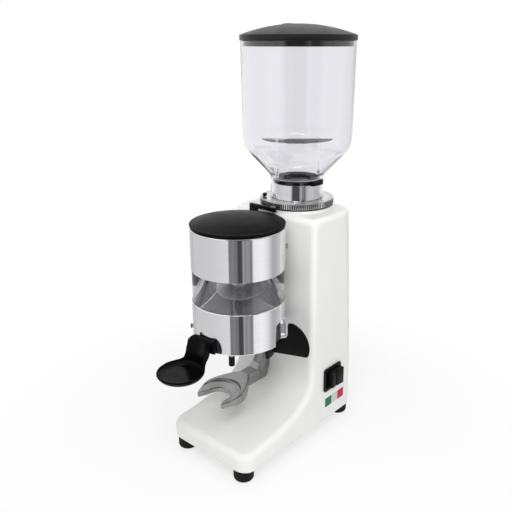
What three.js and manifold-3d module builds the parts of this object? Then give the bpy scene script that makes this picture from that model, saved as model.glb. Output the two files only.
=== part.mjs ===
// Electric coffee grinder with a bean hopper, a stepless grind ring and a lever doser.
// Millimetres, +Z up, z = 0 is the surface that the feet stand on.
// The hopper, the grind ring, the burrs and the motor share one upright axis at x = 0, y = 0.
// The doser stands in front of it on the -Y side, and the switch is on the +X side.
import * as THREE from "three";
import { mergeVertices } from "three/addons/utils/BufferGeometryUtils.js";
import Module from "manifold-3d";

const wasm = await Module();
wasm.setup();

// Clearances and shares used all over the part
const gap = 0.3; // between pieces that touch
const runGap = 0.5; // between pieces that turn or slide in each other
const overrun = 2; // how far a cut runs past the face that it cuts
const cutShare = 0.5; // half
const cornerShare = 0.9; // of half a bar's thickness, for its rounded corners
const tau = Math.PI * 2;

// Housing
const bodyHalfWidth = 73.2;
const bodyNoseY = -190;
const bodyRearY = 53;
const bodyRearLean = 5.5;
const bodyFrontY = -52.3;
const bodyBottomZ = 18;
const bodyTopZ = 331;
const bodyNoseTopZ = 43.5;
const bodyLeanFromZ = 90;
const rearSteps = 4; // of the rear line between the top and the start of the lean
const bodyWall = 5;
const edgeRadius = 8;
const crownRadius = 9;
const noseRadius = 19;
const rearRadiusLow = 20;
const rearRadiusTop = 33;
const skirtRadius = 2.5;
const sweepHandle = 61; // how far the top of the base runs on from the nose before it bends
const sweepRise = 3.5; // how much it climbs over that run
const sweepFootZ = 57; // height at which the bend aims at the column
const sweepEndZ = 96; // height at which the bend has become the column
const bossRadius = 51;
const bossHeight = 3.6;

// Feet
const footHeight = 17.7;
const footRadius = 13.7;
const footTread = 8.8;
const footEdge = 3.4;
const footSpread = 54.7;
const footFrontY = -174.2;
const footRearY = 39;
const footRecess = 5;
const footRecessDepth = 8;
const footBore = 2.6;

// Base plate
const plateThickness = 1.6;
const ventCount = 4;
const ventHalf = 22;
const ventWidth = 4;
const ventPitch = 9;
const ventY = -45;

// Grinding head
const chamberRadius = 40;
const chamberBore = 36;
const chamberDepth = 45; // from the housing's top down to the chamber's underside
const chamberFloorZ = bodyTopZ - chamberDepth;
const chamberFloor = 3;
const chamberFlange = 46.5;
const chamberFlangeHeight = 3;
const carrierRun = 1;
const carrierZ = chamberFloorZ + chamberFloor + carrierRun;
const outletWidth = 20;
const outletHeight = 18;
const outletDrop = 29; // from the housing's top down to the outlet's middle
const outletZ = bodyTopZ - outletDrop;
const burrOuter = 32;
const burrInner = 20;
const burrThickness = 6.4;
const burrGap = 0.7;
const burrTeeth = 7;
const burrSlantAngle = 62;
const toothDepth = 1.6;
const toothWidth = 3.2;
const carrierThickness = 6;
const carrierRadius = 33.6;
const hubRadius = 11;
const sweeperCount = 4;
const sweeperWidth = 5;
const throatRadius = 24;
const collarRadius = 32.5;
const carrierShellRadius = 35.4;
const throatFlare = 5;

// Grind ring
const ringRadius = 52.3;
const ringLift = 1.4; // over the boss
const ringZ = bodyTopZ + bossHeight + ringLift;
const ringHeight = 8.5;
const collarRise = 30; // from the ring's underside up to the collar's top
const collarTopZ = ringZ + collarRise;
const ringBore = 37.8;
const ringChamfer = 1;
const knurlCount = 54;
const knurlDepth = 0.9;
const gasketHeight = 0.8;
const gasketProud = 0.8;
const pinRadius = 3;
const pinHeight = 4.2;
const pinAngle = 223;
const pinReach = 45.6;

// Hopper
const neckRadius = 36.7;
const hopperWall = 3;
const neckRise = 39; // from the ring's underside up to the neck's end
const neckTopZ = ringZ + neckRise;
const coneHeight = 37;
const coneTopZ = neckTopZ + coneHeight;
const coneTopRadius = 71;
const shoulderHeight = 17;
const drumLowZ = coneTopZ + shoulderHeight;
const drumLowRadius = 75.6;
const drumHeight = 127.3;
const drumTopZ = drumLowZ + drumHeight;
const drumTopRadius = 77.4;
const shoulderSwell = 0.9;
const coneFlareRadius = 7.1;
const coneFlareHeight = 8.4;
const lidOverhang = 1.2; // past the hopper's rim
const lidRadius = drumTopRadius + lidOverhang;
const lidRimHeight = 5.3;
const lidDome = 16;
const lidWall = 2.6;
const lidSkirtHeight = 7.5;
const lidEase = 1;
const lidPadRadius = 9.5;
const lidPadShare = 0.55;
const lidPadAngle = 40;
const lidPadRise = 1.4;
const lidPadX = -14;
const lidPadY = -3;
const lidTabRadius = 8;
const lidTabHeight = 2;
const lidTabOffset = 10;
const guardRadius = 49.5;
const guardDrop = 2; // below the foot of the drum
const guardZ = drumLowZ - guardDrop;
const guardThickness = 2.5;
const guardLegs = 2;
const guardLegWidth = 15;
const guardLegWall = 3;
const guardRingHeight = 3;
const guardTurnAngle = 71;
const frameHeight = 6;
const frameHole = 19;
const gateThickness = 2;
const gateHalfWidth = 20.5;
const gateTabReach = 41.5;
const gateTabHalfWidth = 11;
const gateTabHeight = 7;
const gateTabStartAngle = -21;
const gateTabEndAngle = 10;

// Lock lever
const lockY = -56;
const lockThickness = 4.6;
const lockHeight = 5.4;
const lockLeftX = -39;
const lockPivotX = 4.5;
const lockKnobDrop = 6;
const lockKnobWidth = 8;
const lockToothX = -12;
const lockToothWidth = 5;
const lockToothY = -51.4;
const lockScrewRadius = 1.5;
const lockScrewHead = 3.6;
const lockScrewHeadHeight = 2;
const lockScrewDepth = 9;
const lockToothPointShare = 0.5; // the tooth's point, of its root

// Doser
const doserY = -121.7;
const bandRadius = 62.3;
const bandWall = 2.8;
const bandBottomZ = 172.3;
const windowBottomZ = 228;
const windowTopZ = 270.8;
const bandDrop = 3.7; // below the housing's top
const bandTopZ = bodyTopZ - bandDrop;
const windowRadius = 61.3;
const windowWall = 3.2;
const windowSeat = 5.5;
const doserLidOverhang = 0.3; // past the band
const doserLidRadius = bandRadius + doserLidOverhang;
const doserLidRim = 5.4;
const doserLidDome = 14.6;
const doserPlug = 7;
const floorZ = 176;
const floorThickness = 2.5;
const floorLip = 2.5;
const archDepth = 9;
const archRoundShare = 0.8; // of half the narrow slot, for the rounding of the slots
const dropInner = 18;
const dropOuter = 51;
const dropAngle = -122;
const dropSpanAngle = 48;
const slotAngle = 5;
const slotSpanAngle = 15.5;
const fingerSpanAngle = 22;
const wingSlotSpanAngle = 21;
const slotTopZ = 204;
const fingerZ = 178;

// Star wheel
const starVanes = 6;
const starRadius = 56.5;
const starBottomZ = 181.5;
const starRimZ = 225;
const starTopZ = 280;
const starHub = 12;
const starFlareRadius = 31;
const starFlareZ = 238;
const starVaneThickness = 2.4;
const starVaneCurlAngle = 13;
const flareHandle = 7;
const flareHeight = 17;
const flareLip = 1.8;
const spindleRadius = 4;
const spindleBottomZ = 146;
const spindleTopZ = 292;
const starNutAcross = 14;
const starNutHeight = 7;
const ratchetRadius = 10.4;
const ratchetTeeth = 12;
const ratchetThickness = 3.2;
const ratchetRampShare = 0.85; // of a tooth's run, where its tip is
const ratchetZ = 172;
const spindleNutAcross = 13;
const spindleNutZ = 147.4;
const spindleNutHeight = 4;

// Doser lever, drawn at its rest angle about the doser's axis
const leverAngle = 30;
const leverHub = 9;
const leverHubHeight = 9;
const leverArmWidth = 10;
const leverArmThickness = 6;
const leverArmReach = 47;
const leverZ = 163;
const wingInner = 47;
const wingRoot = 66.8;
const wingReach = 98;
const wingLowZ = 146.6;
const wingTopZ = 194.4;
const wingThickness = 4;
const wingHeel = 4;
const wingCorner = 5;
const wingShoulder = 85;
const wingShoulderZ = 186.3;
const wingCrest = 71.5;
const skirtInner = 44;
const skirtWall = 5;
const skirtStartAngle = 5;
const skirtEndAngle = 2;
const skirtLowZ = 151;
const pawlRadiusIn = 11.2;
const pawlWidth = 4;
const pawlLength = 9;

// Return spring under the lever
const springRadius = 7.2;
const springWire = 1.5;
const springTurns = 3;
const springPitch = 2.3;

// Doser mount and chute
const mountHalfWidth = 16;
const mountBottomZ = 186;
const mountRise = 2; // over the housing's top
const mountTopZ = bodyTopZ + mountRise;
const chuteWall = 2;

// Peg under the doser
const stopX = -14.8;
const stopY = -122.9;
const stopRodRadius = 3.1;
const stopCapRadius = 4.3;
const stopCapZ = 119.8;
const stopCapHeight = 14;
const pegCapFloor = 4;

// Band screws
const bandScrewRadius = 3.2;
const bandScrewHead = 1.7;
const bandScrewCrownShare = 0.6; // of the head's radius, where its flat crown starts
const upperScrewAngle = 48;
const upperScrewZ = 299.7;
const lowerScrewAngle = 226;
const lowerScrewZ = 188;

// Tamper
const tamperAngle = -94;
const saddleSpanAngle = 42;
const saddleWall = 5;
const saddleLowZ = bandBottomZ + gap;
const saddleHeight = 18.4;
const saddleTopZ = saddleLowZ + saddleHeight;
const dishRadius = 31;
const dishBelow = 15.2; // below the saddle
const dishDepth = 4.2;
const dishHeight = 7.8;
const dishZ = saddleLowZ - dishBelow;
const dishFloorZ = dishZ - dishDepth;
const dishSoleZ = dishZ - dishHeight;
const dishSole = 26.5;
const dishLip = 2.2;
const dishX = -6;
const dishY = -223;
const armTopWidth = 32;
const armWaistWidth = 30;
const armLean = 2; // from the dish's rim back to the arm's front at its top
const armBack = 9; // from the dish's rim to the arm's back
const armDip = 6; // over the dish's rim, where the arm spreads
const armRimShares = [0.8, 0.2]; // of the lip, between the arm's two faces and the rim
const bowlWallShare = 1.5; // of the lip

// Fork
const forkX = -14.8;
const forkArmHalf = 8.5;
const forkTopZ = 98;
const forkHeight = 19;
const bracketDepth = 19.2;
const bracketRise = 28;
const bracketFlange = 4;
const forkNeckY = -98;
const forkBellyY = -141;
const forkBellyHalf = 32.4;
const forkTipY = -167.5;
const forkTipHalf = 24.6;
const forkTipWidth = 5;
const forkThroatY = -134;
const forkThroatHalf = 17;
const forkDrop = 10;
const forkRim = 6.6;
const forkNeckAimShares = [0.35, 0.22]; // of the swell and of the run, as the arm leaves its sides
const forkBellyAimShare = 0.3; // of a run, before and after the belly and the tip
const forkTipAimShare = 0.4;
const forkTipEaseShare = 0.5;
const forkInsideShare = 0.2;
const forkThroatShares = [0.65, 0.6]; // aims of the round throat
const forkSeatShare = 0.4; // of the dish's drop, at its flat floor
const dishSlopeShare = 0.26;
const dishFlat = 14;
const dishDrop = 4.6;
const forkRootY = -71.7;
const forkRampY = -79;
const rampShare = 0.95;
const forkSeatY = -148;
const forkRimWidth = 3;
const forkScrewRadius = 2.4;
const forkScrewHead = 4.4;
const forkScrewHeadHeight = 3;
const forkScrewDepth = 2.6;
const forkScrewPitch = 18;
const bracketHeel = 7;

// Switch
const switchY = -5.3;
const switchZ = 84.6;
const bezelWidth = 40;
const bezelHeight = 36.5;
const bezelThickness = 2.6;
const bezelRadius = 4;
const switchBodyWidth = 37;
const switchBodyHeight = 32;
const switchBodyDepth = 26;
const wellWidth = 34.4;
const wellDepth = 13;
const rockerWidth = 32.8;
const rockerHeight = 25.6;
const rockerProud = 10.4;
const rockerDip = 1.6;
const rockerSink = 2.5;
const rockerDeep = 6;
const rockerTaper = 1.1;
const rockerFrontRun = 6.8;
const rockerGroove = 1.4;
const rockerGrooveDepth = 3.5;

// Motor
const statorRadius = 42;
const statorBore = 24;
const statorLowZ = 165;
const statorTopZ = 225;
const statorLobes = 4;
const statorNotch = 5;
const windingOuter = 36;
const windingInner = 26;
const windingHeight = 13;
const windingSides = 8;
const rotorRadius = 23.4;
const shaftRadius = 5;
const shaftBottomZ = 128;
const shaftReach = 7; // into the lower burr's carrier
const shaftTopZ = carrierZ + shaftReach;
const bellWall = 3.7;
const bellHeight = 25;
const bellFloor = 4;
const bellBoss = 17;
const bellBossHeight = 12;
const bearingRadius = 13;
const bearingHeight = 9;
const pillarRadius = 4;
const pillarReach = 34;
const shaftClear = 1.5;

// Small parts inside the base
const capacitorRadius = 16;
const capacitorHeight = 58;
const capacitorX = -25;
const capacitorY = 8;
const terminalWidth = 34;
const terminalDepth = 16;
const terminalHeight = 14;
const terminalWays = 3;
const terminalHole = 2.6;
const terminalX = 28;
const terminalY = 20;
const glandX = -34;
const glandZ = 42;
const glandBore = 3.6;
const glandNeck = 6.2;
const glandCap = 9;
const glandProud = 9;
const glandNutHeight = 5;

// A number of segments for each kind of round form
const fineRound = 32;
const round = 20;
const coarseRound = 12;
const smallRound = 8;

const radians = THREE.MathUtils.degToRad;

// Closed mesh as a solid with its faces pointing outwards
function solidOf(geometry) {
  const bare = new THREE.BufferGeometry();
  bare.setAttribute("position", geometry.getAttribute("position"));
  if (geometry.index) bare.setIndex(geometry.index);
  const merged = mergeVertices(bare);
  const corners = merged.index.array;
  const faces = [];
  for (let i = 0; i < corners.length; i += 3) {
    const [a, b, c] = corners.slice(i, i + 3);
    if (a !== b && b !== c && c !== a) faces.push([a, b, c]);
  }
  const build = (list) =>
    new wasm.Manifold(
      new wasm.Mesh({
        numProp: 3,
        vertProperties: new Float32Array(merged.getAttribute("position").array),
        triVerts: new Uint32Array(list.flat()),
      }),
    );
  const solid = build(faces);
  return solid.volume() > 0 ? solid : build(faces.map(([a, b, c]) => [a, c, b]));
}

function geometryOf(solid) {
  const mesh = solid.getMesh();
  const count = mesh.numProp;
  const places = new Float32Array(mesh.numVert * 3);
  for (let i = 0; i < mesh.numVert; i++) {
    places.set(mesh.vertProperties.subarray(i * count, i * count + 3), i * 3);
  }
  const geometry = new THREE.BufferGeometry();
  geometry.setAttribute("position", new THREE.BufferAttribute(places, 3));
  geometry.setIndex(new THREE.BufferAttribute(new Uint32Array(mesh.triVerts), 1));
  return geometry;
}

function join(...parts) {
  return geometryOf(parts.map(solidOf).reduce((whole, next) => whole.add(next)));
}

function cut(part, ...tools) {
  return geometryOf(tools.map(solidOf).reduce((left, tool) => left.subtract(tool), solidOf(part)));
}

function common(part, ...tools) {
  return geometryOf(tools.map(solidOf).reduce((left, tool) => left.intersect(tool), solidOf(part)));
}

// Body turned about the upright axis from a closed outline of [radius, height] points
function turned(outline, segments = round) {
  const points = outline.map(([r, z]) => new THREE.Vector2(r, z));
  const last = points[points.length - 1];
  const onAxis = points[0].x === 0 && last.x === 0;
  if (!onAxis) points.push(points[0].clone());
  return new THREE.LatheGeometry(points, segments).rotateX(Math.PI / 2);
}

function tube(outer, inner, low, high, segments = round) {
  return turned([[inner, low], [outer, low], [outer, high], [inner, high]], segments);
}

function rod(radius, low, high, segments = smallRound) {
  return turned([[0, low], [radius, low], [radius, high], [0, high]], segments);
}

// Points of an arc in a plane, as [first, second] pairs
function arc(cx, cy, radius, from, to, steps) {
  return Array.from({ length: steps + 1 }, (_, i) => {
    const angle = radians(from + ((to - from) * i) / steps);
    return [cx + radius * Math.cos(angle), cy + radius * Math.sin(angle)];
  });
}

function shapeOf(points) {
  return new THREE.Shape(points.map(([x, y]) => new THREE.Vector2(x, y)));
}

// Upright prism over an outline in the XY plane
function prism(shape, low, high, curveSegments = smallRound) {
  const geometry = new THREE.ExtrudeGeometry(shape, {
    depth: high - low,
    bevelEnabled: false,
    curveSegments,
  });
  return geometry.translate(0, 0, low);
}

function block(x0, x1, y0, y1, z0, z1) {
  const box = new THREE.BoxGeometry(x1 - x0, y1 - y0, z1 - z0);
  return box.translate((x0 + x1) / 2, (y0 + y1) / 2, (z0 + z1) / 2);
}

// Outline in the YZ plane made a slab that runs along X
function slabAlongX(points, x0, x1) {
  const slab = prism(shapeOf(points), x0, x1);
  return slab.applyMatrix4(
    new THREE.Matrix4().makeBasis(
      new THREE.Vector3(0, 1, 0),
      new THREE.Vector3(0, 0, 1),
      new THREE.Vector3(1, 0, 0),
    ),
  );
}

// Sector of a ring between two angles about the upright axis
function ringSector(inner, outer, from, to, low, high, steps = smallRound) {
  const outside = arc(0, 0, outer, from, to, steps);
  const inside = arc(0, 0, inner, to, from, steps);
  return prism(shapeOf([...outside, ...inside]), low, high);
}

function roundedRectangle(x0, x1, y0, y1, radius) {
  const shape = new THREE.Shape();
  shape.absarc(x1 - radius, y0 + radius, radius, -Math.PI / 2, 0);
  shape.absarc(x1 - radius, y1 - radius, radius, 0, Math.PI / 2);
  shape.absarc(x0 + radius, y1 - radius, radius, Math.PI / 2, Math.PI);
  shape.absarc(x0 + radius, y0 + radius, radius, Math.PI, Math.PI * 1.5);
  return shape;
}

// Skin over a row of closed rings that have as many points each, with flat ends.
// flat turns a ring's point into the plane coordinates of its end cap.
function skin(rings, flat) {
  const size = rings[0].length;
  const places = rings.flat().flatMap((p) => [p.x, p.y, p.z]);
  const faces = [];
  for (let r = 0; r + 1 < rings.length; r++) {
    for (let i = 0; i < size; i++) {
      const a = r * size + i;
      const b = r * size + ((i + 1) % size);
      faces.push(a, b, a + size, b, b + size, a + size);
    }
  }
  const cap = (ring, start, reverse) => {
    for (const [a, b, c] of THREE.ShapeUtils.triangulateShape(ring.map(flat), [])) {
      faces.push(...(reverse ? [start + a, start + c, start + b] : [start + a, start + b, start + c]));
    }
  };
  const first = rings[0];
  const last = rings[rings.length - 1];
  const turning = THREE.ShapeUtils.isClockWise(first.map(flat));
  cap(first, 0, !turning);
  cap(last, (rings.length - 1) * size, turning);
  const geometry = new THREE.BufferGeometry();
  geometry.setAttribute("position", new THREE.Float32BufferAttribute(places, 3));
  geometry.setIndex(faces);
  return geometry;
}

// Materials
function material(color, roughness, metalness, extra = {}) {
  return new THREE.MeshStandardMaterial({ color, roughness, metalness, flatShading: true, ...extra });
}

const looks = {
  paint: () => material(0xf1f1ee, 0.35, 0),
  polished: () => material(0xd4d5d8, 0.12, 1),
  cast: () => material(0xa9a8a6, 0.42, 1),
  steel: () => material(0x9b9da0, 0.35, 1),
  darkSteel: () => material(0x5b5d60, 0.4, 1),
  black: () => material(0x1c1c1d, 0.5, 0),
  gloss: () => material(0x131314, 0.25, 0),
  rubber: () => material(0x161616, 0.85, 0),
  clear: () => material(0xeeeef2, 0.05, 0, { transparent: true, opacity: 0.25 }),
  copper: () => material(0xa5623a, 0.45, 1),
  blue: () => material(0x39506b, 0.5, 0),
};

const grinder = new THREE.Group();
const doser = new THREE.Group();
doser.position.y = doserY;
grinder.add(doser);

function add(name, geometry, look, parent = grinder) {
  const mesh = new THREE.Mesh(geometry, looks[look]());
  mesh.name = name;
  parent.add(mesh);
  return mesh;
}

// Housing

// How far a corner of this radius draws a wall in, at x
function cornerDraw(x, half, radius) {
  const past = Math.max(0, Math.abs(x) - (half - radius));
  return radius - Math.sqrt(Math.max(0, radius * radius - past * past));
}

function leanShare(z) {
  const share = (z - bodyLeanFromZ) / (bodyTopZ - bodyLeanFromZ);
  return Math.min(1, Math.max(0, share));
}

// Side view of the housing at x, or of its hollow when inset is the wall and the floor is open
function sideView(x, inset, arcSteps, sweepSteps, openBelow) {
  const half = bodyHalfWidth - inset;
  const nose = bodyNoseY + inset + cornerDraw(x, half, noseRadius - inset);
  const edge = inset + cornerDraw(x, half, edgeRadius - inset);
  const crown = crownRadius - inset;
  const front = bodyFrontY + edge;
  const top = bodyTopZ - edge;
  const noseTop = bodyNoseTopZ - edge;
  const foot = bodyBottomZ + cornerDraw(x, half, skirtRadius);
  const rearAt = (z) => {
    const share = leanShare(z);
    const radius = rearRadiusLow + (rearRadiusTop - rearRadiusLow) * share;
    return bodyRearY - bodyRearLean * share - inset - cornerDraw(x, half, radius - inset);
  };
  const low = bodyBottomZ - overrun;
  const points = openBelow
    ? [[nose, low]]
    : arc(nose + skirtRadius, foot + skirtRadius, skirtRadius, 270, 180, arcSteps);
  points.push(...arc(nose + crown, noseTop - crown, crown, 180, 90, arcSteps));
  const sweep = new THREE.CubicBezierCurve(
    new THREE.Vector2(nose + crown, noseTop),
    new THREE.Vector2(bodyNoseY + crownRadius + sweepHandle, noseTop + sweepRise),
    new THREE.Vector2(front, sweepFootZ - edge),
    new THREE.Vector2(front, sweepEndZ),
  );
  points.push(...sweep.getPoints(sweepSteps).slice(1).map((p) => [p.x, p.y]));
  points.push(...arc(front + crown, top - crown, crown, 180, 90, arcSteps));
  points.push(...arc(rearAt(bodyTopZ) - crown, top - crown, crown, 90, 0, arcSteps));
  for (let i = 1; i <= rearSteps; i++) {
    const z = bodyLeanFromZ + (bodyTopZ - crownRadius - bodyLeanFromZ) * (1 - i / rearSteps);
    points.push([rearAt(z), z]);
  }
  const rear = rearAt(0);
  if (openBelow) points.push([rear, low]);
  else points.push(...arc(rear - skirtRadius, foot + skirtRadius, skirtRadius, 0, -90, arcSteps));
  return points;
}

function housingForm(inset, arcSteps, sweepSteps, slices, openBelow) {
  const half = bodyHalfWidth - inset;
  const xs = Array.from({ length: slices + 1 }, (_, i) => {
    const share = Math.sin((Math.PI / 2) * (i / slices));
    return half - rearRadiusTop + rearRadiusTop * share;
  });
  const rings = [...xs.map((x) => -x).reverse(), ...xs].map((x) =>
    sideView(x, inset, arcSteps, sweepSteps, openBelow).map(([y, z]) => new THREE.Vector3(x, y, z)),
  );
  return skin(rings, (p) => new THREE.Vector2(p.y, p.z));
}

function switchOpening(margin) {
  const halfWidth = switchBodyWidth / 2 + margin;
  const halfHeight = switchBodyHeight / 2 + margin;
  return block(
    bodyHalfWidth - switchBodyDepth,
    bodyHalfWidth + overrun,
    switchY - halfWidth,
    switchY + halfWidth,
    switchZ - halfHeight,
    switchZ + halfHeight,
  );
}

// Square run from the chamber to the doser
function ductRun(margin, fromY, toY) {
  const half = outletWidth / 2 + margin;
  const rise = outletHeight / 2 + margin;
  return block(-half, half, fromY, toY, outletZ - rise, outletZ + rise);
}

function rodAlongY(radius, x, z, y0, y1, segments = smallRound) {
  return rod(radius, y0, y1, segments).rotateX(-Math.PI / 2).translate(x, 0, z);
}

const forkScrewZs = [forkTopZ, forkTopZ + forkScrewPitch];

function bodyHousing() {
  const outer = housingForm(0, 3, 8, 6, false);
  const hollow = housingForm(bodyWall, 1, 5, 3, true);
  const bossLow = bodyTopZ - bodyWall;
  const boss = tube(bossRadius, chamberRadius + gap, bossLow, bodyTopZ + bossHeight);
  const bore = rod(chamberRadius + gap, bossLow - overrun, bodyTopZ + bossHeight + overrun, round);
  const duct = ductRun(chuteWall + gap, bodyFrontY - overrun, bodyFrontY + bodyWall + overrun);
  const rearFrom = bodyRearY - bodyWall - overrun;
  const gland = rodAlongY(glandNeck + gap, glandX, glandZ, rearFrom, bodyRearY + overrun);
  const frontTo = bodyFrontY + bodyWall + overrun;
  const screws = forkScrewZs.map((z) =>
    rodAlongY(forkScrewRadius + gap, forkX, z, bodyFrontY - overrun, frontTo),
  );
  return cut(join(cut(outer, hollow), boss), bore, duct, gland, switchOpening(gap), ...screws);
}
add("body_housing", bodyHousing(), "paint");

// Sheet cover that closes the housing from below, with vents
function basePlate() {
  const top = bodyBottomZ + plateThickness;
  const within = housingForm(bodyWall + gap, 1, 5, 3, true);
  const sheet = block(-bodyHalfWidth, bodyHalfWidth, bodyNoseY, bodyRearY, bodyBottomZ, top);
  const vent = (y) => {
    const slot = roundedRectangle(-ventHalf, ventHalf, y, y + ventWidth, ventWidth / 2);
    return prism(slot, bodyBottomZ - overrun, top + overrun, 2);
  };
  const vents = Array.from({ length: ventCount }, (_, i) => vent(ventY + ventPitch * i));
  return cut(common(within, sheet), ...vents);
}
add("base_plate", basePlate(), "darkSteel");

// Feet, recessed from below for a screw
function foot() {
  const bulge = footRadius - footTread;
  const lower = arc(footTread, bulge, bulge, -90, 0, 3);
  return turned(
    [
      [footRecess, 0],
      ...lower,
      [footRadius, footHeight],
      [footBore, footHeight],
      [footBore, footRecessDepth],
      [footRecess, footRecessDepth],
    ],
    coarseRound,
  );
}

const footPlaces = [
  ["front_left", -footSpread, footFrontY],
  ["front_right", footSpread, footFrontY],
  ["rear_left", -footSpread, footRearY],
  ["rear_right", footSpread, footRearY],
];
for (const [place, x, y] of footPlaces) {
  add("foot_" + place, foot(), "rubber").position.set(x, y, 0);
}

// Motor

// Stator core with flats and notches on its rim
function statorCore() {
  const core = tube(statorRadius, statorBore, statorLowZ, statorTopZ, round);
  const notches = Array.from({ length: statorLobes }, (_, i) => {
    const half = statorNotch / 2;
    const out = statorRadius + overrun;
    const low = statorLowZ - overrun;
    const notch = block(statorRadius - half, out, -half, half, low, statorTopZ + overrun);
    return notch.rotateZ((tau * (i + cutShare)) / statorLobes);
  });
  return cut(core, ...notches);
}
add("motor_stator", statorCore(), "steel");

// Coil head with rounded sides
function coilHead(low) {
  const middle = (windingOuter + windingInner) / 2;
  const half = (windingOuter - windingInner) / 2;
  const rise = windingHeight / 2;
  const side = tau / windingSides;
  const outline = Array.from({ length: windingSides }, (_, i) => [
    middle + half * Math.cos(side * i),
    low + rise * (1 + Math.sin(side * i)),
  ]);
  return turned(outline, coarseRound);
}
add("upper_winding", coilHead(statorTopZ + gap), "copper");
add("lower_winding", coilHead(statorLowZ - gap - windingHeight), "copper");

// End shield that stands on the stator, with a seat for the bearing
function endShield(pillarTop) {
  const floorLow = bellHeight - bellFloor;
  const bossLow = bellHeight - bellBossHeight;
  const seat = bearingRadius + gap;
  const seatTop = bossLow + bearingHeight + gap;
  const clear = shaftRadius + shaftClear;
  const shell = turned([
    [statorRadius - bellWall, 0],
    [statorRadius, 0],
    [statorRadius, bellHeight - bellFloor],
    [statorRadius - bellFloor, bellHeight],
    [clear, bellHeight],
    [clear, seatTop],
    [seat, seatTop],
    [seat, bossLow],
    [bellBoss, bossLow],
    [bellBoss, floorLow],
    [statorRadius - bellWall, floorLow],
  ]);
  if (!pillarTop) return shell;
  const pillars = Array.from({ length: statorLobes }, (_, i) =>
    rod(pillarRadius, floorLow + bellFloor / 2, pillarTop, 10)
      .translate(pillarReach, 0, 0)
      .rotateZ((tau * i) / statorLobes),
  );
  return join(shell, ...pillars);
}
const topBellZ = statorTopZ + gap;
const bottomBellZ = statorLowZ - gap;
const seatHeight = bellHeight - bellBossHeight + gap / 2;
add("motor_top_bell", endShield(chamberFloorZ - gap - topBellZ), "cast").position.z = topBellZ;
add("motor_bottom_bell", endShield(0).rotateX(Math.PI), "cast").position.z = bottomBellZ;

function bearing() {
  const inner = shaftRadius + gap;
  return tube(bearingRadius, inner, 0, bearingHeight, coarseRound);
}
add("bearing_upper", bearing(), "steel").position.z = topBellZ + seatHeight;
add("bearing_lower", bearing(), "steel").position.z = bottomBellZ - seatHeight - bearingHeight;

function rotor() {
  return turned(
    [
      [0, shaftBottomZ],
      [shaftRadius, shaftBottomZ],
      [shaftRadius, statorLowZ],
      [rotorRadius, statorLowZ],
      [rotorRadius, statorTopZ],
      [shaftRadius, statorTopZ],
      [shaftRadius, shaftTopZ],
      [0, shaftTopZ],
    ],
    coarseRound,
  );
}
add("motor_rotor", rotor(), "steel");

// Grinding chamber and burrs

// Cup that hangs in the housing's boss by its flange, with an outlet to the front
function grindingChamber() {
  const flangeZ = bodyTopZ + bossHeight + gap;
  const cup = turned([
    [shaftRadius + shaftClear, chamberFloorZ],
    [chamberRadius, chamberFloorZ],
    [chamberRadius, flangeZ],
    [chamberFlange, flangeZ],
    [chamberFlange, flangeZ + chamberFlangeHeight],
    [chamberBore, flangeZ + chamberFlangeHeight],
    [chamberBore, chamberFloorZ + chamberFloor],
    [shaftRadius + shaftClear, chamberFloorZ + chamberFloor],
  ]);
  return cut(cup, ductRun(0, -chamberRadius - overrun, -burrOuter));
}
add("grinding_chamber", grindingChamber(), "cast");

const lowerBurrZ = carrierZ + carrierThickness + gap;
const upperBurrZ = lowerBurrZ + burrThickness + burrGap;

// Disc with sweeper vanes on its rim and a cone that feeds the beans outwards
function lowerBurrCarrier() {
  const bore = shaftRadius + gap;
  const boreTop = shaftTopZ + gap;
  const coneTop = upperBurrZ + burrThickness;
  const disc = turned(
    [
      [bore, carrierZ],
      [carrierRadius, carrierZ],
      [carrierRadius, carrierZ + carrierThickness],
      [burrInner - gap, carrierZ + carrierThickness],
      [burrInner - gap, lowerBurrZ + toothDepth],
      [hubRadius, lowerBurrZ + burrThickness],
      [hubRadius * cutShare, coneTop],
      [0, coneTop],
      [0, boreTop],
      [bore, boreTop],
    ],
    round,
  );
  const inner = burrOuter + gap;
  const outer = chamberBore - 2 * runGap;
  const half = sweeperWidth / 2;
  const top = lowerBurrZ + burrThickness;
  const sweepers = Array.from({ length: sweeperCount }, (_, i) =>
    block(inner, outer, -half, half, carrierZ, top).rotateZ((tau * i) / sweeperCount),
  );
  return join(disc, ...sweepers);
}
add("lower_burr_carrier", lowerBurrCarrier(), "cast");

// Flat burr with slanted teeth on its upper face
function burr() {
  const ring = tube(burrOuter, burrInner, 0, burrThickness, round);
  const half = toothWidth / 2;
  const slant = radians(burrSlantAngle);
  const grooves = Array.from({ length: burrTeeth }, (_, i) => {
    const low = burrThickness - toothDepth;
    return block(-burrOuter, burrOuter, -half, half, low, burrThickness + overrun)
      .rotateZ(slant)
      .translate((burrOuter + burrInner) / 2, 0, 0)
      .rotateZ((tau * i) / burrTeeth);
  });
  return cut(ring, ...grooves);
}
add("lower_burr", burr(), "darkSteel").position.z = lowerBurrZ;
add("upper_burr", burr().rotateX(Math.PI), "darkSteel").position.z = upperBurrZ + burrThickness;

// Threaded carrier of the upper burr; its collar rises into the hopper's neck
function upperBurrCarrier() {
  const low = upperBurrZ + burrThickness + gap;
  const seat = bodyTopZ + bossHeight + chamberFlangeHeight + 2 * gap;
  return turned([
    [throatRadius, low],
    [carrierShellRadius, low],
    [carrierShellRadius, seat],
    [ringBore - gap, seat],
    [ringBore - gap, ringZ + ringHeight - gap],
    [collarRadius, ringZ + ringHeight - gap],
    [collarRadius, collarTopZ],
    [throatRadius + throatFlare, collarTopZ],
    [throatRadius, collarTopZ - 2 * throatFlare],
  ]);
}
add("upper_burr_carrier", upperBurrCarrier(), "polished");

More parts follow.
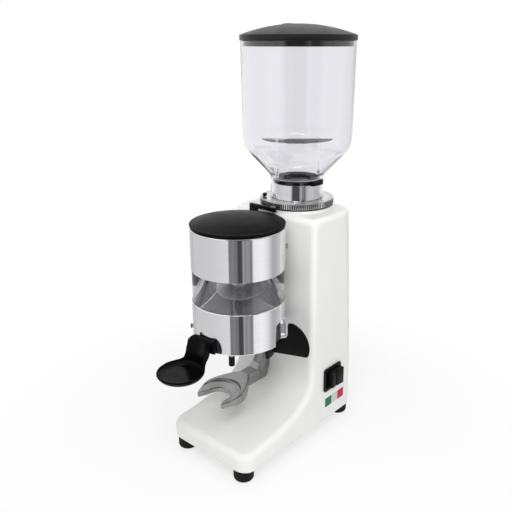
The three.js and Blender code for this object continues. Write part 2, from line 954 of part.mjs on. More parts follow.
// Knurled ring, hollow below so that it clears the chamber's flange
function adjustingRing() {
  const top = ringZ + ringHeight;
  const step = tau / knurlCount;
  const rim = Array.from({ length: knurlCount * 2 }, (_, i) => {
    const radius = i % 2 ? ringRadius - knurlDepth : ringRadius;
    return [radius * Math.cos((i * step) / 2), radius * Math.sin((i * step) / 2)];
  });
  const flange = chamberFlange + runGap;
  const flangeTop = bodyTopZ + bossHeight + chamberFlangeHeight + 2 * gap;
  const form = turned(
    [
      [flange, ringZ],
      [ringRadius - ringChamfer, ringZ],
      [ringRadius, ringZ + ringChamfer],
      [ringRadius, top - ringChamfer],
      [ringRadius - ringChamfer, top],
      [ringBore, top],
      [ringBore, flangeTop],
      [flange, flangeTop],
    ],
    fineRound,
  );
  return common(form, prism(shapeOf(rim), ringZ - overrun, top + overrun));
}
add("adjusting_ring", adjustingRing(), "polished");

const bossTopZ = bodyTopZ + bossHeight;
const gasketZ = bossTopZ + gap;
const gasket = tube(bossRadius + gasketProud, chamberFlange + runGap, gasketZ, gasketZ + gasketHeight, round);
add("ring_gasket", gasket, "rubber");

const pin = add("ring_pin", rod(pinRadius, 0, pinHeight, 12), "black");
pin.position.set(
  pinReach * Math.cos(radians(pinAngle)),
  pinReach * Math.sin(radians(pinAngle)),
  ringZ + ringHeight + gap,
);

// Hopper

const neckZ = ringZ + ringHeight + gap;
const frameZ = collarTopZ + gap;
const gateZ = frameZ + (frameHeight - gateThickness) / 2;
const neckInner = neckRadius - hopperWall;

function hopper() {
  const bend = new THREE.SplineCurve([
    new THREE.Vector2(coneTopRadius, coneTopZ),
    new THREE.Vector2((coneTopRadius + drumLowRadius) / 2 + shoulderSwell, (coneTopZ + drumLowZ) / 2),
    new THREE.Vector2(drumLowRadius, drumLowZ),
  ]);
  const outside = [
    [neckRadius, neckZ],
    [neckRadius, neckTopZ],
    [neckRadius + coneFlareRadius, neckTopZ + coneFlareHeight],
    ...bend.getPoints(3).map((p) => [p.x, p.y]),
    [drumTopRadius, drumTopZ],
  ];
  const inside = [
    [drumTopRadius - hopperWall, drumTopZ],
    ...bend
      .getPoints(3)
      .reverse()
      .map((p) => [p.x - hopperWall, p.y]),
    [neckRadius + coneFlareRadius - hopperWall, neckTopZ + coneFlareHeight + hopperWall / 2],
    [neckInner, neckTopZ + hopperWall / 2],
    [neckInner, neckZ],
  ];
  const slot = block(
    0,
    neckRadius + overrun,
    -gateHalfWidth - runGap,
    gateHalfWidth + runGap,
    gateZ - runGap,
    gateZ + gateThickness + runGap,
  );
  return cut(turned([...outside, ...inside], fineRound), slot);
}
add("hopper", hopper(), "clear");

// Spherical cap from the rim at [radius, low] up to the axis
function capArc(radius, low, height, steps) {
  const sphere = (radius * radius + height * height) / (2 * height);
  const half = Math.asin(radius / sphere);
  return Array.from({ length: steps + 1 }, (_, i) => {
    const angle = half * (1 - i / steps);
    return [Math.max(0, sphere * Math.sin(angle)), low + height - sphere * (1 - Math.cos(angle))];
  });
}

// Domed lid with a skirt that drops into the hopper and a low oval pad on the dome
function hopperLid() {
  const low = drumTopZ + gap;
  const high = low + lidRimHeight;
  const skirt = drumTopRadius - hopperWall - runGap;
  const inner = skirt - lidWall;
  const shell = turned(
    [
      [inner, low - lidSkirtHeight],
      [skirt, low - lidSkirtHeight],
      [skirt, low],
      [lidRadius, low],
      [lidRadius, high - lidEase],
      ...capArc(lidRadius - lidEase, high, lidDome, 4),
      ...capArc(inner, high - lidWall, lidDome - lidWall / 2, 2).reverse(),
    ],
    fineRound,
  );
  const top = high + lidDome + lidPadRise;
  const pad = rod(lidPadRadius, high + lidDome - lidWall, top, coarseRound)
    .scale(1, lidPadShare, 1)
    .rotateZ(radians(lidPadAngle))
    .translate(lidPadX, lidPadY, 0);
  return join(shell, pad);
}
add("hopper_lid", hopperLid(), "black");

// Disc on legs that keeps fingers away from the gate
function fingerGuard() {
  const low = frameZ + frameHeight + gap;
  const outer = neckInner - gap;
  const inner = outer - guardLegWall;
  const base = tube(outer, inner, low, low + guardRingHeight, round);
  const disc = rod(guardRadius, guardZ, guardZ + guardThickness, round);
  const span = (guardLegWidth / outer) * (180 / Math.PI);
  const legs = Array.from({ length: guardLegs }, (_, i) => {
    const leg = ringSector(inner, outer, -span / 2, span / 2, low, guardZ + guardThickness / 2, 4);
    return leg.rotateZ((tau * i) / guardLegs + radians(guardTurnAngle));
  });
  return join(base, disc, ...legs);
}
add("finger_guard", fingerGuard(), "clear");

// Dark ring in the neck, with a channel for the gate that is open to the right
function gateFrame() {
  const ring = tube(neckInner - gap, frameHole, frameZ, frameZ + frameHeight);
  const channel = block(
    -gateHalfWidth - gap,
    neckRadius,
    -gateHalfWidth - gap,
    gateHalfWidth + gap,
    gateZ - gap,
    gateZ + gateThickness + gap,
  );
  return cut(ring, channel);
}
add("gate_frame", gateFrame(), "black");

function hopperGate() {
  const reach = neckRadius + 2 * gap;
  const half = gateHalfWidth;
  const plate = block(-half, reach + gap, -half, half, gateZ, gateZ + gateThickness);
  const low = gateZ + gateThickness / 2 - gateTabHeight / 2;
  const tab = ringSector(reach, gateTabReach, gateTabStartAngle, gateTabEndAngle, low, low + gateTabHeight, 8);
  const bed = rod(reach + gap, gateZ, gateZ + gateThickness, fineRound);
  return join(common(plate, bed), tab);
}
add("hopper_gate", hopperGate(), "black");

// Lock lever in front of the grind ring

const lockZ = mountTopZ + gap;

function lockLever() {
  const half = lockThickness / 2;
  const rounding = half * cornerShare;
  const point = (lockToothWidth / 2) * lockToothPointShare;
  const bar = roundedRectangle(lockLeftX, lockPivotX + half * 2, lockY - half, lockY + half, rounding);
  const knob = roundedRectangle(lockLeftX, lockLeftX + lockKnobWidth, lockY - half, lockY + half, rounding);
  const tooth = shapeOf([
    [lockToothX - lockToothWidth / 2, lockY],
    [lockToothX + lockToothWidth / 2, lockY],
    [lockToothX + point, lockToothY],
    [lockToothX - point, lockToothY],
  ]);
  const body = join(
    prism(bar, lockZ, lockZ + lockHeight, 2),
    prism(knob, lockZ - lockKnobDrop, lockZ + lockHeight, 2),
    prism(tooth, Math.max(ringZ + gap, lockZ), lockZ + lockHeight),
  );
  const bore = rod(lockScrewRadius + gap, lockZ - overrun, lockZ + lockHeight + overrun, 12);
  return cut(body, bore.translate(lockPivotX, lockY, 0));
}
add("lock_lever", lockLever(), "black");

function lockScrew() {
  const headZ = lockZ + lockHeight + gap;
  return turned(
    [
      [0, mountTopZ - lockScrewDepth],
      [lockScrewRadius, mountTopZ - lockScrewDepth],
      [lockScrewRadius, headZ],
      [lockScrewHead, headZ],
      [lockScrewHead, headZ + lockScrewHeadHeight],
      [0, headZ + lockScrewHeadHeight],
    ],
    12,
  );
}
add("lock_screw", lockScrew(), "darkSteel").position.set(lockPivotX, lockY, 0);

// Doser; its pieces are drawn about the doser's own axis

const bandInner = bandRadius - bandWall;
const rabbet = windowRadius + gap;
const lipRadius = bandInner - floorLip;

// Cutter for an arch that goes through a band: straight sides and a rounded head
function arch(angle, half, low, high, corner) {
  const shape = new THREE.Shape();
  shape.moveTo(-half, low);
  shape.lineTo(half, low);
  shape.absarc(half - corner, high - corner, corner, 0, Math.PI / 2);
  shape.absarc(-half + corner, high - corner, corner, Math.PI / 2, Math.PI);
  const cutter = prism(shape, bandRadius - archDepth, bandRadius + overrun, 3);
  return cutter
    .applyMatrix4(
      new THREE.Matrix4().makeBasis(
        new THREE.Vector3(0, 1, 0),
        new THREE.Vector3(0, 0, 1),
        new THREE.Vector3(1, 0, 0),
      ),
    )
    .rotateZ(radians(angle));
}

// Half the chord that a span of degrees takes at the band's outside
function halfChord(span) {
  return bandRadius * Math.sin(radians(span / 2));
}

function lowerBand() {
  const band = turned(
    [
      [lipRadius, bandBottomZ],
      [bandRadius, bandBottomZ],
      [bandRadius, windowBottomZ],
      [rabbet, windowBottomZ],
      [rabbet, windowBottomZ - windowSeat - gap],
      [bandInner, windowBottomZ - windowSeat - gap],
      [bandInner, floorZ - gap],
      [lipRadius, floorZ - gap],
    ],
    fineRound,
  );
  const slotHalf = halfChord(slotSpanAngle);
  const wingHalf = halfChord(wingSlotSpanAngle);
  const fingerHalf = halfChord(slotSpanAngle + fingerSpanAngle);
  const wingFrom = slotAngle + slotSpanAngle + fingerSpanAngle;
  const low = bandBottomZ - overrun;
  const rounding = slotHalf * archRoundShare;
  return cut(
    band,
    arch(slotAngle + slotSpanAngle / 2, slotHalf, low, slotTopZ, rounding),
    arch(wingFrom + wingSlotSpanAngle / 2, wingHalf, low, slotTopZ, rounding),
    arch(slotAngle + (slotSpanAngle + fingerSpanAngle) / 2, fingerHalf, low, fingerZ, 2 * gap),
  );
}
add("doser_lower_band", lowerBand(), "polished", doser);

function upperBand() {
  const band = turned(
    [
      [rabbet, windowTopZ],
      [bandRadius, windowTopZ],
      [bandRadius, bandTopZ],
      [bandInner, bandTopZ],
      [bandInner, windowTopZ + windowSeat + gap],
      [rabbet, windowTopZ + windowSeat + gap],
    ],
    fineRound,
  );
  const mouth = ductRun(0, bandInner - archDepth, bandRadius + overrun);
  return cut(band, mouth);
}
add("doser_upper_band", upperBand(), "polished", doser);

function doserWindow() {
  const low = windowBottomZ - windowSeat;
  return tube(windowRadius, windowRadius - windowWall, low, windowTopZ + windowSeat, fineRound);
}
add("doser_window", doserWindow(), "clear", doser);

function doserLid() {
  const low = bandTopZ + gap;
  const high = low + doserLidRim;
  const plug = bandInner - runGap;
  const inner = plug - lidWall;
  return turned(
    [
      [inner, low - doserPlug],
      [plug, low - doserPlug],
      [plug, low],
      [doserLidRadius, low],
      [doserLidRadius, high - lidEase],
      ...capArc(doserLidRadius - lidEase, high, doserLidDome, 4),
      ...capArc(inner, high - lidWall, doserLidDome - lidWall / 2, 2).reverse(),
    ],
    fineRound,
  );
}
add("doser_lid", doserLid(), "black", doser);

function doserFloor() {
  const disc = tube(bandInner - gap, spindleRadius + gap, floorZ, floorZ + floorThickness);
  const from = dropAngle - dropSpanAngle / 2;
  const to = dropAngle + dropSpanAngle / 2;
  const top = floorZ + floorThickness + overrun;
  const drop = ringSector(dropInner, dropOuter, from, to, floorZ - overrun, top, 6);
  return cut(disc, drop);
}
add("doser_floor", doserFloor(), "darkSteel", doser);

// Vaned wheel: curved vanes under a hub that flares like a trumpet
function starWheel() {
  const bore = spindleRadius + gap;
  const flare = new THREE.CubicBezierCurve(
    new THREE.Vector2(starFlareRadius, starFlareZ),
    new THREE.Vector2(starHub + flareHandle, starFlareZ + flareHandle / 2),
    new THREE.Vector2(starHub, starFlareZ + flareHandle),
    new THREE.Vector2(starHub, starFlareZ + flareHeight),
  );
  const hub = turned(
    [
      [bore, starBottomZ],
      [hubRadius, starBottomZ],
      [hubRadius, starFlareZ - flareLip],
      [starFlareRadius, starFlareZ - flareLip],
      ...flare.getPoints(6).map((p) => [p.x, p.y]),
      [starHub, starTopZ],
      [bore, starTopZ],
    ],
    round,
  );
  const steps = 4;
  const half = starVaneThickness / 2;
  const middle = Array.from({ length: steps + 1 }, (_, i) => {
    const share = i / steps;
    const radius = (hubRadius + spindleRadius) / 2 + (starRadius - hubRadius / 2) * share;
    const angle = radians(starVaneCurlAngle * share * share);
    return new THREE.Vector2(radius * Math.cos(angle), radius * Math.sin(angle));
  });
  const side = (sign) =>
    middle.map((p, i) => {
      const next = middle[Math.min(i + 1, steps)];
      const last = middle[Math.max(i - 1, 0)];
      const along = next.clone().sub(last).normalize();
      return [p.x - along.y * half * sign, p.y + along.x * half * sign];
    });
  const plan = shapeOf([...side(-1), ...side(1).reverse()]);
  const vane = prism(plan, starBottomZ, starFlareZ + flareHandle);
  const vanes = Array.from({ length: starVanes }, (_, i) => vane.clone().rotateZ((tau * i) / starVanes));
  const roof = turned([
    [bore, starBottomZ],
    [starRadius, starBottomZ],
    [starRadius, starRimZ],
    [starFlareRadius, starFlareZ - flareLip / 2],
    [bore, starFlareZ + flareHandle / 2],
  ]);
  return join(common(join(...vanes), roof), hub);
}
add("star", starWheel(), "polished", doser);

const underHubZ = leverZ - (leverHubHeight - leverArmThickness) / 2;
const springTopZ = underHubZ - gap - springWire / 2;

// Upright spindle with a collar that carries the ratchet wheel
add("star_spindle", rod(spindleRadius, spindleBottomZ, spindleTopZ), "steel", doser);

function nut(across, low, high) {
  const radius = across / Math.sqrt(3);
  const ring = rod(radius, low, high, 6);
  return cut(ring, rod(spindleRadius + gap, low - overrun, high + overrun));
}
add("star_nut", nut(starNutAcross, starTopZ + gap, starTopZ + gap + starNutHeight), "steel", doser);
add("spindle_nut", nut(spindleNutAcross, spindleNutZ, spindleNutZ + spindleNutHeight), "steel", doser);

function ratchetWheel() {
  const points = Array.from({ length: ratchetTeeth }, (_, i) => {
    const start = (tau * i) / ratchetTeeth;
    const end = (tau * (i + ratchetRampShare)) / ratchetTeeth;
    const root = ratchetRadius - toothDepth;
    return [
      [root * Math.cos(start), root * Math.sin(start)],
      [ratchetRadius * Math.cos(end), ratchetRadius * Math.sin(end)],
    ];
  }).flat();
  const wheel = prism(shapeOf(points), ratchetZ, ratchetZ + ratchetThickness);
  return cut(wheel, rod(spindleRadius + gap, ratchetZ - overrun, ratchetZ + ratchetThickness + overrun));
}
add("ratchet_wheel", ratchetWheel(), "darkSteel", doser);

// Pull lever below the doser: hub, bar, inner skirt and a fan-shaped wing
function doserLever() {
  const half = leverArmWidth / 2;
  const hub = tube(leverHub, spindleRadius + gap, underHubZ, underHubZ + leverHubHeight, coarseRound);
  const armTop = leverZ + leverArmThickness;
  const arm = block(leverHub - 2 * gap, leverArmReach + half, -half, half, leverZ, armTop);
  const from = skirtStartAngle - leverAngle;
  const skirt = ringSector(skirtInner, skirtInner + skirtWall, from, skirtEndAngle, skirtLowZ, armTop, 8);
  const wing = new THREE.Shape();
  wing.moveTo(wingInner, wingLowZ + wingHeel);
  wing.lineTo(wingReach - wingCorner, wingLowZ);
  wing.bezierCurveTo(
    wingReach,
    wingLowZ + wingHeel / 2,
    wingReach + wingCorner / 2,
    armTop,
    wingShoulder,
    wingShoulderZ,
  );
  wing.bezierCurveTo(
    wingShoulder - wingCorner,
    wingTopZ - wingHeel,
    wingCrest + wingHeel,
    wingTopZ,
    wingCrest,
    wingTopZ,
  );
  wing.quadraticCurveTo(wingRoot, wingTopZ, wingRoot, wingTopZ - wingHeel * 2);
  wing.lineTo(wingRoot, bandBottomZ + wingHeel);
  wing.quadraticCurveTo(wingRoot - wingHeel, leverZ + gap, wingInner, leverZ - wingHeel);
  const plate = prism(wing, -wingThickness / 2, wingThickness / 2, 6);
  plate.rotateX(Math.PI / 2);
  return join(hub, arm, skirt, plate).rotateZ(radians(leverAngle));
}
add("doser_lever", doserLever(), "black", doser);

// Small driver on the lever beside the ratchet wheel
function pawl() {
  const half = pawlWidth / 2;
  const low = underHubZ + leverHubHeight + gap;
  const shape = shapeOf([
    [pawlRadiusIn, 0],
    [pawlRadiusIn + pawlWidth, -half],
    [pawlRadiusIn + pawlLength, -half],
    [pawlRadiusIn + pawlLength, half],
    [pawlRadiusIn + pawlWidth / 2, half],
  ]);
  return prism(shape, low, ratchetZ + ratchetThickness).rotateZ(radians(leverAngle));
}
add("pawl", pawl(), "steel", doser);

// Coil spring round the spindle
class Helix extends THREE.Curve {
  getPoint(t, target = new THREE.Vector3()) {
    const angle = tau * springTurns * t;
    const z = springTopZ - springPitch * springTurns * (1 - t);
    return target.set(springRadius * Math.cos(angle), springRadius * Math.sin(angle), z);
  }
}

function returnSpring() {
  const wire = new THREE.Shape();
  wire.absarc(0, 0, springWire / 2, 0, tau);
  return new THREE.ExtrudeGeometry(wire, {
    steps: springTurns * 9,
    curveSegments: 3,
    bevelEnabled: false,
    extrudePath: new Helix(),
  });
}
add("return_spring", returnSpring(), "steel", doser);

// Peg that hangs under the floor behind the outlet
function peg() {
  return rod(stopRodRadius, stopCapZ + pegCapFloor + gap, floorZ - gap, 12);
}

function pegCap() {
  const outer = stopCapRadius;
  const bore = stopRodRadius + gap;
  const top = stopCapZ + stopCapHeight;
  return turned(
    [
      [0, stopCapZ],
      [outer - gap * 3, stopCapZ],
      [outer, stopCapZ + gap * 3],
      [outer, top],
      [bore, top],
      [bore, stopCapZ + pegCapFloor],
      [0, stopCapZ + pegCapFloor],
    ],
    smallRound,
  );
}
add("stop_rod", peg(), "steel").position.set(stopX, stopY, 0);
add("stop_cap", pegCap(), "rubber").position.set(stopX, stopY, 0);

// Small round heads on the bands
function bandScrew(angle, z) {
  const head = turned(
    [
      [0, bandRadius + gap],
      [bandScrewRadius, bandRadius + gap],
      [bandScrewRadius, bandRadius + gap + bandScrewHead * cutShare],
      [bandScrewRadius * bandScrewCrownShare, bandRadius + gap + bandScrewHead],
      [0, bandRadius + gap + bandScrewHead],
    ],
    12,
  );
  return head.rotateY(Math.PI / 2).rotateZ(radians(angle)).translate(0, 0, z);
}
add("band_screw_upper", bandScrew(upperScrewAngle, upperScrewZ), "steel", doser);
add("band_screw_lower", bandScrew(lowerScrewAngle, lowerScrewZ), "steel", doser);

// Cast saddle between the column and the doser, with a passage for the chute
function doserMount() {
  const back = bodyFrontY - gap;
  const reach = doserY + bandRadius - overrun;
  const form = block(-mountHalfWidth, mountHalfWidth, reach, back, mountBottomZ, mountTopZ);
  const doserRound = rod(bandRadius + gap, mountBottomZ - overrun, mountTopZ + overrun, fineRound);
  const passage = ductRun(chuteWall + gap, reach - overrun, back + overrun);
  const holeLow = mountTopZ - lockScrewDepth - gap;
  const screwHole = rod(lockScrewRadius + gap, holeLow, mountTopZ + overrun, 12);
  doserRound.translate(0, doserY, 0);
  screwHole.translate(lockPivotX, lockY, 0);
  return cut(form, doserRound, passage, screwHole);
}
add("doser_mount", doserMount(), "cast");

// Square duct from the chamber's outlet to the doser
function chute() {
  const back = -chamberBore;
  const front = doserY + bandRadius - overrun;
  const duct = cut(ductRun(chuteWall, front, back), ductRun(0, front - overrun, back + overrun));
  const low = outletZ - outletHeight;
  const high = outletZ + outletHeight;
  const chamber = rod(chamberRadius + gap, low, high, fineRound);
  const bandSide = rod(bandRadius + gap, low, high, fineRound).translate(0, doserY, 0);
  return cut(duct, chamber, bandSide);
}
add("chute", chute(), "cast");

// Tamper: saddle on the band, curved arm and a dished foot
function tamper() {
  const inner = bandRadius + gap;
  const saddle = ringSector(
    inner,
    inner + saddleWall,
    tamperAngle - saddleSpanAngle / 2,
    tamperAngle + saddleSpanAngle / 2,
    saddleLowZ,
    saddleTopZ,
    6,
  ).translate(0, doserY, 0);
  const [frontShare, backShare] = armRimShares;
  const front = dishRadius - dishLip * frontShare;
  const back = dishRadius - dishLip * backShare;
  const seat = dishZ - dishLip;
  const shell = new THREE.Shape();
  shell.moveTo(back, seat);
  shell.bezierCurveTo(back, dishZ + armDip, dishRadius + armBack, dishZ + armDip, dishRadius + armBack, saddleLowZ);
  shell.lineTo(dishRadius + armBack, saddleTopZ);
  shell.lineTo(dishRadius + armLean, saddleTopZ);
  shell.bezierCurveTo(dishRadius + armLean, saddleLowZ, front, saddleLowZ, front, seat);
  const sheet = turned(
    shell.getPoints(6).map((p) => [p.x, p.y]),
    round,
  ).translate(dishX, dishY, 0);
  const top = armTopWidth / 2;
  const waist = armWaistWidth / 2;
  const face = new THREE.Shape();
  face.moveTo(-dishRadius, seat - overrun);
  face.lineTo(dishRadius, seat - overrun);
  face.lineTo(dishRadius, dishZ);
  face.bezierCurveTo(waist, dishZ, waist, dishZ + armDip, waist, saddleLowZ);
  face.lineTo(top, saddleTopZ + overrun);
  face.lineTo(-top, saddleTopZ + overrun);
  face.lineTo(-waist, saddleLowZ);
  face.bezierCurveTo(-waist, dishZ + armDip, -waist, dishZ, -dishRadius, dishZ);
  const outline = prism(face, dishY, doserY, 6).rotateX(Math.PI / 2);
  outline.translate(dishX, doserY + dishY, 0);
  const bandRound = rod(inner, seat - overrun, saddleTopZ + overrun, fineRound).translate(0, doserY, 0);
  const arm = cut(common(sheet, outline), bandRound);
  const dish = turned(
    [
      [0, dishSoleZ],
      [dishSole, dishSoleZ],
      [dishSole + dishLip, dishSoleZ + dishLip],
      [dishRadius, dishZ - dishLip],
      [dishRadius - dishLip / 2, dishZ],
      [0, dishZ],
    ],
    round,
  ).translate(dishX, dishY, 0);
  const bowl = turned(
    [
      [0, dishFloorZ],
      [dishSole - dishLip * 2, dishFloorZ],
      [dishRadius - dishLip * bowlWallShare, dishZ - dishLip],
      [dishRadius - dishLip, dishZ + overrun],
      [0, dishZ + overrun],
    ],
    round,
  ).translate(dishX, dishY, 0);
  return cut(join(saddle, arm, dish), bowl);
}
add("tamper", tamper(), "gloss");

// Fork

// Fork seen from above: arm, swelling prongs and a round throat
function forkPlan() {
  const half = forkArmHalf;
  const swell = forkBellyHalf - half;
  const run = forkNeckY - forkBellyY;
  const tipRun = forkBellyY - forkTipY;
  const throatY = forkThroatY - forkThroatHalf;
  const inside = forkTipHalf - forkTipWidth;
  const [swellShare, neckShare] = forkNeckAimShares;
  const [sideShare, crownShare] = forkThroatShares;
  const side = (s) => {
    const path = new THREE.Path();
    path.moveTo(s * half, forkRootY);
    path.lineTo(s * half, forkNeckY);
    path.bezierCurveTo(
      s * (half + swell * swellShare),
      forkNeckY - run * neckShare,
      s * forkBellyHalf,
      forkBellyY + run * forkBellyAimShare,
      s * forkBellyHalf,
      forkBellyY,
    );
    path.bezierCurveTo(
      s * forkBellyHalf,
      forkBellyY - tipRun * forkTipAimShare,
      s * (forkTipHalf + forkTipWidth * forkTipEaseShare),
      forkTipY + tipRun * forkBellyAimShare,
      s * forkTipHalf,
      forkTipY,
    );
    path.lineTo(s * (inside + forkTipWidth * forkBellyAimShare), forkTipY);
    path.bezierCurveTo(
      s * inside,
      forkTipY + tipRun * forkInsideShare,
      s * forkThroatHalf,
      throatY - tipRun * forkInsideShare,
      s * forkThroatHalf,
      throatY,
    );
    path.bezierCurveTo(
      s * forkThroatHalf,
      throatY + forkThroatHalf * sideShare,
      s * forkThroatHalf * crownShare,
      forkThroatY,
      0,
      forkThroatY,
    );
    return path.getPoints(7).map((p) => [p.x, p.y]);
  };
  return shapeOf([...side(1), ...side(-1).reverse().slice(1)]);
}

function fork() {
  const plan = prism(forkPlan(), forkTopZ - forkHeight, forkTopZ + bracketRise).translate(forkX, 0, 0);
  const low = forkTopZ - forkHeight;
  const tipTop = forkTopZ - forkDrop;
  const profile = slabAlongX(
    [
      [forkRootY, low],
      [forkRootY, forkTopZ + (forkRampY - forkRootY) * -rampShare],
      [forkRampY, forkTopZ],
      [forkNeckY, forkTopZ],
      [forkTipY - overrun, tipTop],
      [forkTipY - overrun, tipTop - forkRim],
      [forkNeckY - forkHeight, low],
    ],
    forkX - forkBellyHalf - overrun,
    forkX + forkBellyHalf + overrun,
  );
  const dishTop = forkTopZ + overrun;
  const seatLow = forkTopZ - forkDrop - dishDrop * forkSeatShare;
  const slope = (forkBellyHalf - forkRimWidth - dishFlat) * dishSlopeShare;
  const seat = turned([
    [0, seatLow],
    [dishFlat, seatLow],
    [forkBellyHalf - forkRimWidth, seatLow + slope],
    [forkBellyHalf - forkRimWidth, dishTop],
    [0, dishTop],
  ]).translate(forkX, forkSeatY, 0);
  return cut(common(plan, profile), seat);
}
add("fork", fork(), "cast");

// Block that joins the fork to the column, with an upright flange
function forkBracket() {
  const back = bodyFrontY - gap;
  const front = forkRootY + gap;
  const low = forkTopZ - forkHeight;
  const rampTop = forkTopZ + (forkRootY - forkRampY) * rampShare;
  const flangeTop = forkTopZ + bracketRise;
  const form = slabAlongX(
    [
      [back, sweepEndZ + gap],
      [back - bracketHeel, low],
      [front, low],
      [front, rampTop],
      [back - bracketFlange, flangeTop - bracketFlange],
      [back - bracketFlange, flangeTop],
      [back, flangeTop],
    ],
    forkX - forkArmHalf,
    forkX + forkArmHalf,
  );
  const holes = forkScrewZs.map((z) =>
    rodAlongY(forkScrewRadius + gap, forkX, z, back - forkScrewDepth - gap, back + overrun, 8),
  );
  return cut(form, ...holes);
}
add("fork_bracket", forkBracket(), "cast");

function forkScrew(z) {
  const wallFace = bodyFrontY + bodyWall + gap;
  const tip = bodyFrontY - gap - forkScrewDepth;
  return turned(
    [
      [0, tip],
      [forkScrewRadius, tip],
      [forkScrewRadius, wallFace],
      [forkScrewHead, wallFace],
      [forkScrewHead, wallFace + forkScrewHeadHeight],
      [0, wallFace + forkScrewHeadHeight],
    ],
    12,
  )
    .rotateX(-Math.PI / 2)
    .translate(forkX, 0, z);
}
add("fork_screw_lower", forkScrew(forkScrewZs[0]), "steel");
add("fork_screw_upper", forkScrew(forkScrewZs[1]), "steel");

// Rocker switch on the right side

const faceX = bodyHalfWidth + gap;
const wellHeight = rockerHeight + 2 * runGap;

function switchHousing() {
  const halfWidth = bezelWidth / 2;
  const halfHeight = bezelHeight / 2;
  const frame = roundedRectangle(-halfWidth, halfWidth, -halfHeight, halfHeight, bezelRadius);
  const bezel = prism(frame, faceX, faceX + bezelThickness, 4).applyMatrix4(
    new THREE.Matrix4().makeBasis(
      new THREE.Vector3(0, 1, 0),
      new THREE.Vector3(0, 0, 1),
      new THREE.Vector3(1, 0, 0),
    ),
  );
  const low = faceX - switchBodyDepth + overrun;
  const body = block(
    low,
    faceX + gap,
    -switchBodyWidth / 2,
    switchBodyWidth / 2,
    -switchBodyHeight / 2,
    switchBodyHeight / 2,
  );
  const well = block(
    faceX - wellDepth,
    faceX + bezelThickness + overrun,
    -wellWidth / 2,
    wellWidth / 2,
    -wellHeight / 2,
    wellHeight / 2,
  );
  return cut(join(bezel, body), well).translate(0, switchY, switchZ);
}
add("switch_housing", switchHousing(), "black");

// Rocker seen from above: a proud grooved block behind a sunk front end
function switchRocker() {
  const half = rockerWidth / 2;
  const low = rockerProud - rockerDip;
  const step = -half + rockerFrontRun;
  const outline = shapeOf([
    [-rockerDeep, -half + rockerTaper],
    [-rockerSink, -half],
    [-rockerSink, step],
    [low, step + gap],
    [low, -rockerGroove],
    [low - rockerGrooveDepth, 0],
    [low, rockerGroove],
    [rockerProud, half - gap],
    [0, half],
    [-rockerDeep, half - rockerTaper],
  ]);
  const form = prism(outline, -rockerHeight / 2, rockerHeight / 2);
  return form.translate(faceX, switchY, switchZ);
}
add("switch_rocker", switchRocker(), "gloss");

// Electrical parts inside the base

const shelfZ = bodyBottomZ + plateThickness + gap;
const capacitor = add("capacitor", rod(capacitorRadius, shelfZ, shelfZ + capacitorHeight, coarseRound), "blue");
capacitor.position.set(capacitorX, capacitorY, 0);

function terminalBlock() {
  const half = terminalWidth / 2;
  const top = shelfZ + terminalHeight;
  const form = block(-half, half, 0, terminalDepth, shelfZ, top);
  const step = terminalWidth / terminalWays;
  const holes = Array.from({ length: terminalWays }, (_, i) =>
    rod(terminalHole, top - terminalHeight / 2, top + overrun, 8).translate(
      -half + step * (i + cutShare),
      terminalDepth / 2,
      0,
    ),
  );
  return cut(form, ...holes);
}
add("terminal_block", terminalBlock(), "black").position.set(terminalX, terminalY, 0);

// Gland at the rear for a cord
function cableGland() {
  const out = bodyRearY + gap;
  const inside = bodyRearY - bodyWall - gap;
  return turned(
    [
      [glandBore, inside - glandNutHeight],
      [glandCap, inside - glandNutHeight],
      [glandCap, inside],
      [glandNeck, inside],
      [glandNeck, out],
      [glandCap, out],
      [glandCap - overrun, out + glandProud],
      [glandBore, out + glandProud],
    ],
    smallRound,
  )
    .rotateX(-Math.PI / 2)
    .translate(glandX, 0, glandZ);
}
add("cable_gland", cableGland(), "black");

// The part's origin is the middle of its footprint
const footprint = new THREE.Box3().setFromObject(grinder).getCenter(new THREE.Vector3());
grinder.position.set(-footprint.x, -footprint.y, 0);

export default grinder;
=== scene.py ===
import math
from functools import cache

import bmesh
import bpy
from bpy.props import FloatProperty, FloatVectorProperty, IntProperty, PointerProperty
from mathutils import Matrix, Vector


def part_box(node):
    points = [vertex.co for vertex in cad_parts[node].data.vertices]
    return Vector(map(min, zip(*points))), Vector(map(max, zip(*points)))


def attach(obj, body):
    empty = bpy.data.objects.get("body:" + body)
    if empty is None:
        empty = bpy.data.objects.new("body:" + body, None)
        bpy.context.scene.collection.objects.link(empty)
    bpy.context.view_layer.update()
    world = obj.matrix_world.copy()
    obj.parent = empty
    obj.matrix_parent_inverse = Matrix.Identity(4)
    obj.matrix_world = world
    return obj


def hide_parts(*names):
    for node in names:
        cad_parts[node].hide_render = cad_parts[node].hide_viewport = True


bl_info = {
    "name": "Electric coffee grinder",
    "version": (1, 0, 0),
    "blender": (4, 5, 0),
    "location": "3D View > Sidebar > Coffee grinder",
    "description": "Builds the visible pieces of a coffee grinder with a lever doser on its packed frame",
    "category": "Object",
}

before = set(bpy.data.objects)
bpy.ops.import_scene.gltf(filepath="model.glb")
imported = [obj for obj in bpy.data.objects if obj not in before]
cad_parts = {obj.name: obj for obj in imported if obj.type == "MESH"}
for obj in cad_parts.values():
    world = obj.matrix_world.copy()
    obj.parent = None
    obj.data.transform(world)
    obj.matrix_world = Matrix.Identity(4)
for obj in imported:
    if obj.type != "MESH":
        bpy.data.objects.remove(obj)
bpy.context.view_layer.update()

# Units and counts used all over the file. Shapes are drawn in millimetres about an upright axis
MM = 0.001
FINE = 128  # steps of the large round pieces
MEDIUM = 72
SMALL = 32
GAP = 0.3  # between pieces that touch
OVERRUN = 2.0  # how far a cutter runs past the face that it cuts
MERGE = 0.0005  # corners closer than this are one
HALF = 0.5
WHITE = (1.0, 1.0, 1.0, 1.0)


